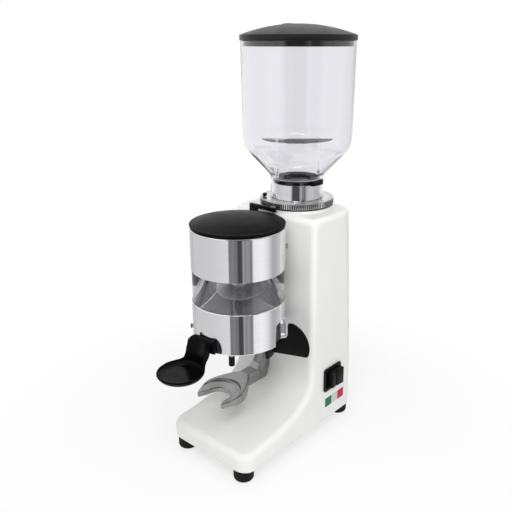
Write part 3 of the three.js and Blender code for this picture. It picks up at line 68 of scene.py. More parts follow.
def middle_of(node):
    """The upright axis through a node of the frame, in metres."""
    low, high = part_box(node)
    return Vector(((low.x + high.x) / 2, (low.y + high.y) / 2, 0.0))


HEAD = middle_of("adjusting_ring")
DOSER = middle_of("doser_window")
DOSER_Y = (DOSER.y - HEAD.y) / MM


def linear(hex_colour):
    """An sRGB hex value as the linear red, green and blue that shaders use."""
    channels = [(hex_colour >> shift & 255) / 255 for shift in (16, 8, 0)]
    return tuple(c / 12.92 if c <= 0.04045 else ((c + 0.055) / 1.055) ** 2.4 for c in channels)


def opaque(colour):
    """A linear colour with an alpha of 1."""
    return (*colour, 1.0)


def length(name, description, millimetres):
    return FloatProperty(name=name, description=description, default=millimetres * MM, unit="LENGTH", precision=4)


def colour(name, description, hex_colour):
    return FloatVectorProperty(
        name=name, description=description, subtype="COLOR", min=0, max=1, default=linear(hex_colour)
    )


# Sizes and colours that a user would change


class BodySizes(bpy.types.PropertyGroup):
    half_width: length("Half width", "Half the width of the housing", 73.2)
    nose_y: length("Nose", "Front of the base, from the grinding axis", -190)
    rear_y: length("Rear", "Rear of the housing at its foot, from the grinding axis", 53)
    front_y: length("Column front", "Front face of the column, from the grinding axis", -52.3)
    bottom: length("Lower edge", "Height of the housing's lower edge", 18)
    top: length("Top", "Height of the column's top", 331)
    nose_top: length("Nose height", "Height of the base at its nose", 43.5)
    wall: length("Wall", "Thickness of the casting", 5)
    edge_radius: length("Edge radius", "Rounding of the long side edges", 8)
    crown_radius: length("Crown radius", "Rounding over the front and top edges", 9)


class HopperSizes(bpy.types.PropertyGroup):
    neck_radius: length("Neck radius", "Outer radius of the neck", 36.7)
    rim_radius: length("Rim radius", "Outer radius at the open top", 77.4)
    top: length("Top", "Height of the open rim", 556.3)
    wall: length("Wall", "Thickness of the clear plastic", 3)
    lid_radius: length("Lid radius", "Outer radius of the lid", 78.6)
    lid_dome: length("Lid dome", "Height of the dome over the lid's rim", 14)


class DoserSizes(bpy.types.PropertyGroup):
    band_radius: length("Band radius", "Outer radius of the polished bands", 62.3)
    band_wall: length("Band wall", "Thickness of the bands", 2.8)
    low: length("Lower end", "Height of the lower band's lower end", 172.3)
    window_low: length("Window from", "Height at which the window starts", 228)
    window_top: length("Window to", "Height at which the window ends", 270.8)
    top: length("Upper end", "Height of the upper band's upper end", 327.3)
    lid_dome: length("Lid dome", "Height of the dome over the lid's rim", 9.2)


class RingSizes(bpy.types.PropertyGroup):
    radius: length("Radius", "Outer radius of the grind ring", 52.3)
    low: length("Lower face", "Height of the ring's lower face", 336)
    height: length("Height", "Height of the ring", 8.5)
    knurls: IntProperty(name="Knurls", description="Ridges round the rim", default=108)
    knurl_depth: length("Knurl depth", "Depth of the ridges", 0.9)
    ticks: IntProperty(name="Ticks", description="Marks of the scale on the top face", default=90)


class Colours(bpy.types.PropertyGroup):
    paint: colour("Paint", "Powder coat of the housing", 0xF0F0ED)
    grained: colour("Grained black", "Moulded black plastic of the lids and the lever", 0x0A0A0B)
    gloss: colour("Gloss black", "Polished black plastic of the tamper", 0x060607)
    clear: colour("Clear plastic", "Tint of the hopper and the window", 0xF3F3F6)
    steel: colour("Polished steel", "Bands of the doser", 0xEEEEF2)
    cast: colour("Cast aluminium", "Fork and mount", 0x9C9C9D)
    rubber: colour("Rubber", "Feet", 0x0D0D0E)
    green: colour("First stripe", "Stripe nearest the front", 0x0E7344)
    pale: colour("Middle stripe", "Pale stripe", 0xCED1CB)
    red: colour("Last stripe", "Stripe nearest the rear", 0xC01F3E)


class Studio(bpy.types.PropertyGroup):
    sky: FloatProperty(name="Sky", description="Strength of the even white surround", default=0.55)
    key: FloatProperty(name="Key lamp", description="Power of the large lamp on the right, in watts", default=3.5)
    top: FloatProperty(name="Top lamp", description="Power of the lamp overhead, in watts", default=8)
    front: FloatProperty(name="Front lamp", description="Power of the lamp over the camera, in watts", default=4)
    lens: FloatProperty(name="Lens", description="Focal length on a 36 mm sensor", default=43.83)


SETTINGS = (BodySizes, HopperSizes, DoserSizes, RingSizes, Colours, Studio)


def settings(group):
    """A settings group of the scene."""
    return getattr(bpy.context.scene, "grinder_" + group)


def sizes(group):
    """The lengths of a settings group in millimetres, by name."""
    values = settings(group)
    names = type(values).__annotations__
    return type("Sizes", (), {n: getattr(values, n) / MM for n in names if isinstance(getattr(values, n), float)})


# Drawing in outline: points are (across, up) pairs, and a third number is a corner's own radius


def arc(across, up, radius, start, end, steps=8):
    """Points of an arc, with its angles in degrees."""
    angles = [math.radians(start + (end - start) * i / steps) for i in range(steps + 1)]
    return [(across + radius * math.cos(a), up + radius * math.sin(a)) for a in angles]


def curve(start, first_aim, last_aim, end, steps=12):
    """Points of a cubic curve between two ends, drawn towards two aims."""
    points = []
    for i in range(steps + 1):
        t = i / steps
        weights = ((1 - t) ** 3, 3 * t * (1 - t) ** 2, 3 * t * t * (1 - t), t**3)
        points.append(tuple(
            sum(weight * value for weight, value in zip(weights, values))
            for values in zip(start, first_aim, last_aim, end)
        ))
    return points


def eased(outline, radius=0.0, steps=4):
    """A closed outline with its corners rounded as far as its sides leave room. Corners on the axis stay."""
    smooth = []
    for i, corner in enumerate(outline):
        here = Vector(corner[:2])
        before = Vector(outline[i - 1][:2]) - here
        after = Vector(outline[(i + 1) % len(outline)][:2]) - here
        reach = corner[2] if len(corner) > 2 else radius
        angle = before.angle(after, math.pi)
        if reach <= 0 or angle > math.radians(178) or (here.x == 0 and len(corner) < 3):
            smooth.append(tuple(here))
            continue
        side = min(reach / math.tan(angle / 2), before.length * 0.49, after.length * 0.49)
        first = here + before.normalized() * side
        last = here + after.normalized() * side
        for k in range(steps + 1):
            t = k / steps
            point = first * (1 - t) ** 2 + here * 2 * t * (1 - t) + last * t * t
            smooth.append(tuple(point))
    return smooth


def box_outline(left, right, low, high, radius=0.0):
    """A rectangle with rounded corners."""
    return eased([(left, low), (right, low), (right, high), (left, high)], radius)


def cap_arc(radius, low, height, steps=20):
    """A shallow dome from its rim up to the axis."""
    sphere = (radius * radius + height * height) / (2 * height)
    half = math.asin(radius / sphere)
    angles = [half * (1 - i / steps) for i in range(steps + 1)]
    return [(max(0.0, sphere * math.sin(a)), low + height - sphere * (1 - math.cos(a))) for a in angles]


# Solid forms. Each function returns a bmesh in millimetres


def healed(form):
    bmesh.ops.remove_doubles(form, verts=form.verts, dist=MERGE)
    bmesh.ops.dissolve_degenerate(form, edges=form.edges, dist=MERGE)
    bmesh.ops.recalc_face_normals(form, faces=form.faces)
    return form


def chain(form, points, closed=False):
    """Corners in space joined by edges; returns both."""
    corners = [form.verts.new(p) for p in points]
    following = corners[1:] + corners[:1] if closed else corners[1:]
    return corners + [form.edges.new(pair) for pair in zip(corners, following)]


def turned(outline, steps=FINE):
    """A body turned about the upright axis."""
    form = bmesh.new()
    on_axis = outline[0][0] == 0 and outline[-1][0] == 0
    profile = chain(form, [(r, 0, z) for r, z in outline], closed=not on_axis)
    bmesh.ops.spin(
        form, geom=profile, cent=(0, 0, 0), axis=(0, 0, 1), dvec=(0, 0, 0),
        angle=math.tau, steps=steps, use_merge=True,
    )
    return healed(form)


def rod(radius, low, high, ease=0.0, steps=SMALL):
    return turned(eased([(0, low), (radius, low), (radius, high), (0, high)], ease), steps)


def drill(radius, low, high, steps=SMALL):
    """A round cutter for the space between two heights."""
    return rod(radius, low - OVERRUN, high + OVERRUN, steps=steps)


def sector(outline, start, end, steps):
    """A cross-section carried part of the way round the axis, from and to angles in degrees."""
    form = bmesh.new()
    face = form.faces.new([form.verts.new((r, 0, z)) for r, z in outline])
    turn = math.radians(end - start)
    bmesh.ops.spin(
        form, geom=[face], cent=(0, 0, 0), axis=(0, 0, 1), dvec=(0, 0, 0), angle=turn, steps=steps,
    )
    bmesh.ops.rotate(form, cent=(0, 0, 0), matrix=Matrix.Rotation(math.radians(start), 3, "Z"), verts=form.verts)
    return healed(form)


def prism(outline, low, high):
    """An outline seen from above, raised from one height to another."""
    form = bmesh.new()
    face = form.faces.new([form.verts.new((x, y, low)) for x, y in outline])
    raised = bmesh.ops.extrude_face_region(form, geom=[face])["geom"]
    top = [g for g in raised if isinstance(g, bmesh.types.BMVert)]
    bmesh.ops.translate(form, vec=(0, 0, high - low), verts=top)
    return healed(form)


def dented(form, places, dent_at, depth):
    """Draws corners of a turned form in, where dent_at says so of their place round it, their reach and height."""
    for corner in form.verts:
        reach = math.hypot(corner.co.x, corner.co.y)
        place = round(math.atan2(corner.co.y, corner.co.x) / math.tau * places)
        if dent_at(place, reach, corner.co.z):
            corner.co.xy *= 1 - depth / reach
    return form


ALONG_X = Matrix(((0, 0, 1, 0), (1, 0, 0, 0), (0, 1, 0, 0), (0, 0, 0, 1)))
ALONG_Y = Matrix(((1, 0, 0, 0), (0, 0, 1, 0), (0, 1, 0, 0), (0, 0, 0, 1)))


def slab_x(outline, start, end):
    """An outline of (y, z) points run along X."""
    return moved(prism(outline, start, end), ALONG_X)


def slab_y(outline, start, end):
    """An outline of (x, z) points run along Y."""
    return healed(moved(prism(outline, start, end), ALONG_Y))


def block(x0, x1, y0, y1, z0, z1):
    return prism([(x0, y0), (x1, y0), (x1, y1), (x0, y1)], z0, z1)


def moved(form, *matrices):
    for matrix in matrices:
        bmesh.ops.transform(form, matrix=matrix, verts=form.verts)
    return form


def shifted(form, x=0.0, y=0.0, z=0.0):
    return moved(form, Matrix.Translation((x, y, z)))


def about_z(form, degrees):
    return moved(form, Matrix.Rotation(math.radians(degrees), 4, "Z"))


def skin(rings):
    """A closed skin over a row of closed rings, each a list of points in space."""
    form = bmesh.new()
    loops = [chain(form, ring, closed=True) for ring in rings]
    edges = [[g for g in loop if isinstance(g, bmesh.types.BMEdge)] for loop in loops]
    for one, other in zip(edges, edges[1:]):
        bmesh.ops.bridge_loops(form, edges=one + other)
    for loop in (loops[0], loops[-1]):
        form.faces.new([g for g in loop if isinstance(g, bmesh.types.BMVert)])
    bmesh.ops.recalc_face_normals(form, faces=form.faces)
    return form


def softened(form, width, segments=3, angle=30):
    """Rounds each edge that is sharper than an angle."""
    limit = math.radians(angle)
    edges = [e for e in form.edges if e.is_manifold and e.calc_face_angle(0) > limit]
    bmesh.ops.bevel(
        form, geom=edges, offset=width, segments=segments, profile=0.5,
        affect="EDGES", material=-1, clamp_overlap=True,
    )
    return healed(form)


def as_object(form, name="draft"):
    mesh = bpy.data.meshes.new(name)
    form.to_mesh(mesh)
    form.free()
    made = bpy.data.objects.new(name, mesh)
    bpy.context.scene.collection.objects.link(made)
    return made


def with_modifiers(draft, helpers=()):
    """The form that a draft has after its modifiers; the draft and its helpers are deleted."""
    graph = bpy.context.evaluated_depsgraph_get()
    mesh = bpy.data.meshes.new_from_object(draft.evaluated_get(graph))
    form = bmesh.new()
    form.from_mesh(mesh)
    bpy.data.meshes.remove(mesh)
    for used in (draft, *helpers):
        bpy.data.objects.remove(used)
    return form


def combined(form, others, operation):
    draft = as_object(form)
    helpers = [as_object(other, "helper") for other in others]
    for helper in helpers:
        modifier = draft.modifiers.new("Boolean", "BOOLEAN")
        modifier.operation = operation
        modifier.solver = "EXACT"
        modifier.object = helper
    return healed(with_modifiers(draft, helpers))


def carved(form, *cutters):
    return combined(form, cutters, "DIFFERENCE")


def welded(form, *others):
    return combined(form, others, "UNION")


def shared(form, *others):
    return combined(form, others, "INTERSECT")


def together(form, *others):
    """Several forms kept as they are in one mesh."""
    for other in others:
        mesh = bpy.data.meshes.new("part")
        other.to_mesh(mesh)
        other.free()
        form.from_mesh(mesh)
        bpy.data.meshes.remove(mesh)
    return form


def as_cast(form, grain, rounds):
    """The soft edges and fillets of a casting: the skin is drawn anew in small squares and smoothed."""
    draft = as_object(form)
    modifier = draft.modifiers.new("Remesh", "REMESH")
    modifier.mode = "VOXEL"
    modifier.voxel_size = grain
    form = with_modifiers(draft)
    for _ in range(rounds):
        bmesh.ops.smooth_vert(form, verts=form.verts, factor=HALF, use_axis_x=True, use_axis_y=True, use_axis_z=True)
    return form


def place_piece(name, form, finish, body, replaced=(), axis=HEAD, sharp=35, weighted=False):
    """Brings a form into the row frame and makes it a piece that rides on a body."""
    moved(form, Matrix.Translation(axis) @ Matrix.Scale(MM, 4))
    piece = as_object(form, name)
    piece.data.shade_smooth()
    piece.data.set_sharp_from_angle(angle=math.radians(sharp))
    piece.data.materials.append(finish)
    if weighted:
        modifier = piece.modifiers.new("Weighted normals", "WEIGHTED_NORMAL")
        modifier.keep_sharp = True
    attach(piece, body)
    if replaced:
        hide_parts(*replaced)
    return piece


# Materials


def node(tree, kind, links=None, **fields):
    """Adds a shader node, sets its fields and fills its inputs from other sockets or with values."""
    made = tree.nodes.new("ShaderNode" + kind)
    for field, value in fields.items():
        setattr(made, field, value)
    for name, source in (links or {}).items():
        if isinstance(source, bpy.types.NodeSocket):
            tree.links.new(source, made.inputs[name])
        else:
            made.inputs[name].default_value = source
    return made


def maths(tree, operation, *values):
    return node(tree, "Math", dict(enumerate(values)), operation=operation).outputs["Value"]


def per_metre(millimetres):
    """The scale of a pattern whose features are this many millimetres across."""
    return 1.0 / (millimetres * MM)


def noise(tree, place, millimetres, detail):
    """Noise whose features are this many millimetres across."""
    links = {"Vector": place, "Scale": per_metre(millimetres), "Detail": detail}
    return node(tree, "TexNoise", links).outputs["Fac"]


def ranged(tree, value, low, high, first=0.0, last=1.0, **fields):
    """A value carried from the range first to last into the range low to high."""
    links = {"Value": value, "From Min": first, "From Max": last, "To Min": low, "To Max": high}
    return node(tree, "MapRange", links, **fields).outputs["Result"]


def blend(tree, share, *colours):
    """A mix of two colours, each linear or a socket."""
    first, second = (c if isinstance(c, bpy.types.NodeSocket) else opaque(c) for c in colours)
    return node(tree, "Mix", {0: share, 6: first, 7: second}, data_type="RGBA").outputs[2]


def bumped(tree, height, strength, depth):
    """Normals over a relief this many millimetres deep."""
    return node(tree, "Bump", {"Height": height, "Strength": strength, "Distance": depth * MM}).outputs["Normal"]


def measured_from(tree, place, axis):
    """The way from an upright axis to a place."""
    return node(tree, "Mapping", {"Vector": place, "Location": (-axis.x, -axis.y, 0.0)}).outputs["Vector"]


def reach_of(tree, vector):
    return node(tree, "VectorMath", {0: vector}, operation="LENGTH").outputs["Value"]


def mixed(tree, share, first, second):
    return node(tree, "MixShader", {0: share, 1: first, 2: second}).outputs["Shader"]


def started(name):
    """A new material, its tree and its Object coordinates."""
    material = bpy.data.materials.new(name)
    material.use_nodes = True
    tree = material.node_tree
    tree.nodes.clear()
    return material, tree, node(tree, "TexCoord").outputs["Object"]


def ended(material, surface):
    node(material.node_tree, "OutputMaterial", {"Surface": surface})
    return material


def principled(material, links):
    return ended(material, node(material.node_tree, "BsdfPrincipled", links).outputs["BSDF"])


def uneven(tree, cloud, rough):
    """Roughness that follows a cloud between two values."""
    return ranged(tree, cloud, *rough, 0.3, 0.7)


@cache
def powder_coat():
    """White polyester powder coat on cast aluminium: a soft gloss over a faint orange peel."""
    material, tree, place = started("white powder coat")
    cloud = noise(tree, place, 70, 1.0)
    paint = settings("colours").paint
    return principled(material, {
        "Base Color": blend(tree, cloud, [c * 0.975 for c in paint], paint),
        "Roughness": ranged(tree, cloud, 0.3, 0.38), "Normal": bumped(tree, noise(tree, place, 2.6, 2.0), 0.05, 0.4),
    })


def plastic(name, tint, grain, depth, rough, shine=0.5):
    """Moulded plastic: the grain of the tool's face, in millimetres, and an uneven sheen."""
    material, tree, place = started(name)
    cloud = noise(tree, place, 18, 2.0)
    return principled(material, {
        "Base Color": blend(tree, cloud, tint, [min(1.0, c * 1.35) for c in tint]), "IOR": 1.52,
        "Roughness": uneven(tree, cloud, rough), "Normal": bumped(tree, noise(tree, place, grain, 3.0), depth, 0.3),
        "Specular IOR Level": shine,
    })


@cache
def grained_black():
    """Spark-eroded black ABS: a matt grain that turns grey where light grazes it."""
    return plastic("grained black ABS", settings("colours").grained, 0.9, 0.3, (0.36, 0.44), 0.26)


@cache
def matt_black():
    """Matt black ABS of the doser's lid: so fine a grain that it hardly takes a light."""
    return plastic("matt black ABS", linear(0x0A0A0B), 0.7, 0.3, (0.36, 0.44), 0.05)


@cache
def smooth_black():
    """Smooth black polyamide of the small controls: a low sheen with hardly any grain."""
    return plastic("smooth black polyamide", settings("colours").grained, 1.4, 0.12, (0.34, 0.42), 0.12)


@cache
def gloss_black():
    """Polished black phenolic of the tamper: deep black with soft clear highlights."""
    return plastic("gloss black phenolic", settings("colours").gloss, 3.0, 0.05, (0.18, 0.26), 0.07)


@cache
def foot_rubber():
    """Moulded nitrile rubber: dead matt with a dusty bloom."""
    return plastic("black nitrile rubber", settings("colours").rubber, 1.1, 0.5, (0.72, 0.85), 0.25)


@cache
def capacitor_film():
    """Shrunk polyester film round the capacitor."""
    return plastic("blue polyester film", linear(0x39506B), 4.0, 0.1, (0.3, 0.4))


def clear_plastic(name, tint, ior=1.49):
    """Clear plastic with the slow waves of its flow, which lets the lamps through to what stands in it."""
    material, tree, place = started(name)
    body = node(tree, "BsdfPrincipled", {
        "Base Color": opaque(tint), "Roughness": 0.0, "IOR": ior, "Transmission Weight": 1.0,
        "Normal": bumped(tree, noise(tree, place, 60, 1.0), 0.04, 1.0),
    }).outputs["BSDF"]
    passing = node(tree, "BsdfTransparent", {"Color": opaque(tint)}).outputs["BSDF"]
    return ended(material, mixed(tree, node(tree, "LightPath").outputs["Is Shadow Ray"], body, passing))


@cache
def hopper_clear():
    """Injection-moulded clear styrene-acrylonitrile: almost no colour."""
    return clear_plastic("clear SAN of the hopper", settings("colours").clear)


@cache
def guard_clear():
    """Thin clear polypropylene of the guard, which bends light less than the hopper round it."""
    return clear_plastic("clear polypropylene of the guard", (1.0, 1.0, 1.0), 1.14)


@cache
def window_clear():
    """Extruded clear polycarbonate tube."""
    return clear_plastic("clear polycarbonate of the window", settings("colours").clear)


def metal(name, tint, rough, grain, depth, stretch=(1.0, 1.0, 1.0), bare=1.0):
    """Metal with a fine finish: grain in millimetres, stretched along the way that it was worked."""
    material, tree, place = started(name)
    along = node(tree, "Mapping", {"Vector": place, "Scale": stretch}).outputs["Vector"]
    lines = noise(tree, along, grain, 4.0)
    return principled(material, {
        "Base Color": blend(tree, lines, [c * 0.9 for c in tint], tint), "Metallic": bare,
        "Roughness": uneven(tree, noise(tree, place, 25, 2.0), rough), "Normal": bumped(tree, lines, depth, 0.2),
    })


@cache
def polished_steel():
    """Stainless strip, polished round the band: mirror-like, with lines too fine to count."""
    return metal("polished stainless steel", settings("colours").steel, (0.05, 0.08), 1.2, 0.02, (0.05, 0.05, 1.0))


@cache
def blasted_cast():
    """Blasted and clear-lacquered cast aluminium of the dosing star, pale in its folds."""
    return metal("blasted cast aluminium", linear(0xE6E6E6), (0.18, 0.3), 3.0, 0.04, bare=0.55)


@cache
def bright_cast():
    """Polished cast aluminium of the collar."""
    return metal("polished cast aluminium", linear(0xE6E6E6), (0.06, 0.1), 5.0, 0.04)


@cache
def satin_cast():
    """Tumbled cast aluminium: a soft grey sheen over a dense fine grain."""
    return metal("satin cast aluminium", settings("colours").cast, (0.22, 0.3), 0.9, 0.2)


@cache
def plated_steel():
    """Zinc-plated steel of screws, nuts and the spindle."""
    return metal("zinc-plated steel", linear(0xA9AAAC), (0.26, 0.4), 0.8, 0.1)


@cache
def sheet_steel():
    """Galvanised sheet with the broad crystals of its zinc."""
    return metal("galvanised sheet steel", linear(0x8E9194), (0.35, 0.55), 6.0, 0.05)


@cache
def tool_steel():
    """Ground and hardened steel of the burrs, grey and slightly oily."""
    return metal("hardened tool steel", linear(0x707275), (0.3, 0.42), 0.7, 0.15)


def striped(name, dark, light, pitch, rough, bare):
    """Fine level layers, pitch in millimetres: sheet packs and wound wire."""
    material, tree, place = started(name)
    links = {"Vector": place, "Scale": per_metre(pitch) / math.tau, "Distortion": 0.2, "Detail": 1.0}
    wave = node(tree, "TexWave", links, wave_type="BANDS", bands_direction="Z").outputs["Fac"]
    return principled(material, {
        "Base Color": blend(tree, wave, linear(dark), linear(light)), "Metallic": bare, "Roughness": rough,
        "Normal": bumped(tree, wave, 0.5, 0.3),
    })


@cache
def stator_sheets():
    """Stamped electrical sheets, stacked: grey with a line for each sheet, drawn at twice its real pitch."""
    return striped("laminated electrical steel", 0x55575A, 0x83868A, 1.0, 0.45, 1.0)


@cache
def wound_copper():
    """Enamelled copper wire: layers of varnished brown-red turns."""
    return striped("enamelled copper wire", 0x7A3B1E, 0xB96A38, 1.2, 0.3, 0.8)


SCALE_EDGE = 2.0  # from the grind ring's rim to its scale
SHORT_MARK = 3.2
LONG_MARK = 5.4


@cache
def scaled_ring():
    """Nickel-plated steel of the grind ring: a satin top with an engraved, blackened scale, and painted shade
    darkening the roots of the knurls.
    """
    material, tree, place = started("nickel-plated grind ring")
    ring = sizes("ring")
    x, y, z = node(tree, "SeparateXYZ", {"Vector": measured_from(tree, place, HEAD)}).outputs
    reach = reach_of(tree, node(tree, "CombineXYZ", {"X": x, "Y": y}).outputs["Vector"])
    ticks = maths(tree, "MULTIPLY", maths(tree, "ARCTAN2", y, x), settings("ring").ticks / math.tau)
    outer = (ring.radius - SCALE_EDGE) * MM

    def marks(turns, width, run):
        """Lines as wide as this part of a turn."""
        drawn = maths(tree, "LESS_THAN", maths(tree, "FRACT", turns), width)
        return maths(tree, "MULTIPLY", drawn, maths(tree, "GREATER_THAN", reach, outer - run * MM))

    fives = maths(tree, "MULTIPLY", ticks, 0.2)
    mark = maths(tree, "MAXIMUM", marks(ticks, 0.24, SHORT_MARK), marks(fives, 0.06, LONG_MARK))
    mark = maths(tree, "MULTIPLY", mark, maths(tree, "LESS_THAN", reach, outer))
    on_top = maths(tree, "GREATER_THAN", z, (ring.low + ring.height - 0.2) * MM)
    mark = maths(tree, "MULTIPLY", mark, on_top)
    # Painted shade: toward the roots of the knurls the colour darkens to the scale's grey, fading out toward their
    # tips
    deep = (ring.radius - ring.knurl_depth * 1.05) * MM
    high = (ring.radius - ring.knurl_depth * 0.35) * MM
    on_rim = maths(tree, "GREATER_THAN", reach, deep)
    knurl_root_shade = maths(tree, "MULTIPLY", on_rim, ranged(tree, reach, 1.0, 0.0, deep, high))
    grain = noise(tree, place, 1.2, 3.0)
    bare = blend(tree, grain, linear(0xC4C4C4), linear(0xECECEC))
    return principled(material, {
        # One dark grey serves both the blackened marks of the scale and the painted shade in the knurl roots
        "Base Color": blend(tree, maths(tree, "MAXIMUM", mark, knurl_root_shade), bare, linear(0x4A4A4A)), "Metallic": 1.0,
        "Roughness": ranged(tree, mark, 0.24, 0.6), "Normal": bumped(tree, grain, 0.12, 0.2),
    })


LABEL_Y = 3.3  # middle of the striped label on the right side, from the grinding axis
LABEL_Z = 46.0
LABEL_LENGTH = 45.8
LABEL_HEIGHT = 14.5
LABEL_THICKNESS = 0.15


@cache
def striped_label():
    """Printed vinyl label of three plain stripes under a satin laminate."""
    material, tree, place = started("printed vinyl label")
    start = HEAD.y + (LABEL_Y - LABEL_LENGTH / 2) * MM
    y = node(tree, "SeparateXYZ", {"Vector": place}).outputs["Y"]
    ramp = node(tree, "ValToRGB", {"Fac": ranged(tree, y, 0.0, 1.0, start, start + LABEL_LENGTH * MM)})
    ramp.color_ramp.interpolation = "CONSTANT"
    points = ramp.color_ramp.elements
    points[1].position = 1 / 3
    points.new(2 / 3)
    chosen = settings("colours")
    for point, tint in zip(points, (chosen.green, chosen.pale, chosen.red)):
        point.color = opaque(tint)
    return principled(material, {
        "Base Color": ramp.outputs["Color"], "Roughness": ranged(tree, noise(tree, place, 0.8, 2.0), 0.34, 0.46),
        "Specular IOR Level": 0.2,
    })


# Housing

REAR_LEAN = 5.5  # how far the rear has come forward at the top
LEAN_FROM = 90.0
NOSE_RADIUS = 19.0
REAR_RADIUS_LOW = 20.0
REAR_RADIUS_TOP = 33.0
SKIRT_RADIUS = 2.5
SWEEP_HANDLE = 61.0  # how far the top of the base runs on from the nose before it bends
SWEEP_RISE = 3.5
SWEEP_FOOT = 57.0  # height at which the bend aims at the column
SWEEP_END = 96.0  # height at which the bend has become the column
BOSS_RADIUS = 51.0
BOSS_HEIGHT = 3.6
BORE = 40.3
SLICES = 18
REAR_STEPS = 5


def corner_draw(x, half, radius):
    """How far a corner of this radius draws a wall in, at x."""
    past = max(0.0, abs(x) - (half - radius))
    return radius - math.sqrt(max(0.0, radius * radius - past * past))


def side_view(body, x, inset, open_below):
    """Outline of the housing at x, or of its hollow where inset is the wall."""
    half = body.half_width - inset
    nose = body.nose_y + inset + corner_draw(x, half, NOSE_RADIUS - inset)
    edge = inset + corner_draw(x, half, body.edge_radius - inset)
    crown = body.crown_radius - inset
    front = body.front_y + edge
    top = body.top - edge
    nose_top = body.nose_top - edge
    foot = body.bottom + corner_draw(x, half, SKIRT_RADIUS)

    def rear_at(z):
        lean = min(1.0, max(0.0, (z - LEAN_FROM) / (body.top - LEAN_FROM)))
        radius = REAR_RADIUS_LOW + (REAR_RADIUS_TOP - REAR_RADIUS_LOW) * lean
        return body.rear_y - REAR_LEAN * lean - inset - corner_draw(x, half, radius - inset)

    low = body.bottom - OVERRUN
    skirt = foot + SKIRT_RADIUS
    points = [(nose, low)] if open_below else arc(nose + SKIRT_RADIUS, skirt, SKIRT_RADIUS, 270, 180, 4)
    points += arc(nose + crown, nose_top - crown, crown, 180, 90, 10)
    aim = (body.nose_y + body.crown_radius + SWEEP_HANDLE, nose_top + SWEEP_RISE)
    points += curve((nose + crown, nose_top), aim, (front, SWEEP_FOOT - edge), (front, SWEEP_END), 32)[1:]
    points += arc(front + crown, top - crown, crown, 180, 90, 10)
    points += arc(rear_at(body.top) - crown, top - crown, crown, 90, 0, 10)
    rear_top = body.top - body.crown_radius
    heights = [LEAN_FROM + (rear_top - LEAN_FROM) * (1 - i / REAR_STEPS) for i in range(1, REAR_STEPS + 1)]
    points += [(rear_at(z), z) for z in heights]
    rear = rear_at(0)
    points += [(rear, low)] if open_below else arc(rear - SKIRT_RADIUS, skirt, SKIRT_RADIUS, 0, -90, 4)
    return points


def housing_form(body, inset=0.0, open_below=False):
    half = body.half_width - inset
    reach = [math.sin(math.pi / 2 * i / SLICES) for i in range(SLICES + 1)]
    right = [half - REAR_RADIUS_TOP + REAR_RADIUS_TOP * r for r in reach]
    across = [-x for x in right[::-1]] + right
    return skin([[(x, y, z) for y, z in side_view(body, x, inset, open_below)] for x in across])


SWITCH_Y = -5.3  # middle of the switch, from the grinding axis
SWITCH_Z = 84.6
SWITCH_BODY = (37.0, 32.0, 26.0)  # width, height and depth of the part inside the housing
GLAND_X = -34.0
GLAND_Z = 42.0
GLAND_NECK = 6.2
DUCT_HALF = 12.3
DUCT_RISE = 11.3
DUCT_Z = 302.0
MOUTH_HALF = 10.3
MOUTH_RISE = 9.0


def rod_y(radius, x, z, start, end, ease=0.0, steps=SMALL):
    """A rod that runs along Y."""
    return shifted(moved(rod(radius, start, end, ease, steps), Matrix.Rotation(-math.pi / 2, 4, "X")), x, 0, z)


class GRINDER_OT_housing(bpy.types.Operator):
    """Casts the housing with its boss and openings"""

    bl_idname = "grinder.housing"
    bl_label = "Housing"

    def execute(self, context):
        body = sizes("body")
        shell = housing_form(body)
        hollow = housing_form(body, body.wall, open_below=True)
        boss_low = body.top - body.wall
        boss_top = body.top + BOSS_HEIGHT
        ring = [(BORE, boss_low), (BOSS_RADIUS, boss_low), (BOSS_RADIUS, boss_top, 1.2), (BORE, boss_top, 0.4)]
        bore = drill(BORE, boss_low, boss_top, FINE)
        width, height, depth = SWITCH_BODY
        opening = block(
            body.half_width - depth, body.half_width + OVERRUN,
            SWITCH_Y - width / 2 - GAP, SWITCH_Y + width / 2 + GAP,
            SWITCH_Z - height / 2 - GAP, SWITCH_Z + height / 2 + GAP,
        )
        front_cut = (body.front_y - OVERRUN, body.front_y + body.wall + OVERRUN)
        duct = block(-DUCT_HALF, DUCT_HALF, *front_cut, DUCT_Z - DUCT_RISE, DUCT_Z + DUCT_RISE)
        gland = rod_y(GLAND_NECK + GAP, GLAND_X, GLAND_Z, body.rear_y - body.wall - OVERRUN, body.rear_y + OVERRUN)
        form = welded(carved(shell, hollow), turned(eased(ring)))
        form = carved(form, bore, opening, duct, gland)
        place_piece("housing", form, powder_coat(), "frame", ["body_housing"], weighted=True)
        return {"FINISHED"}


class GRINDER_OT_label(bpy.types.Operator):
    """Sticks the label of three stripes below the switch"""

    bl_idname = "grinder.label"
    bl_label = "Striped label"

    def execute(self, context):
        body = sizes("body")
        outline = box_outline(
            LABEL_Y - LABEL_LENGTH / 2, LABEL_Y + LABEL_LENGTH / 2,
            LABEL_Z - LABEL_HEIGHT / 2, LABEL_Z + LABEL_HEIGHT / 2, 0.6,
        )
        form = slab_x(outline, body.half_width + 0.02, body.half_width + LABEL_THICKNESS)
        place_piece("stripe_label", form, striped_label(), "frame")
        return {"FINISHED"}


# Feet

FOOT_RADIUS = 13.7
FOOT_TREAD = 8.8
FOOT_HEIGHT = 17.7
FOOT_RECESS = 5.0
FOOT_RECESS_DEPTH = 8.0
FOOT_BORE = 2.6
FOOT_SCREW_HEAD = 4.2
FOOT_SCREW_LOW = 3.4
FOOT_SCREW_EDGE = 5.2  # where its dome ends
FOOT_SLOT = 1.2  # width and depth


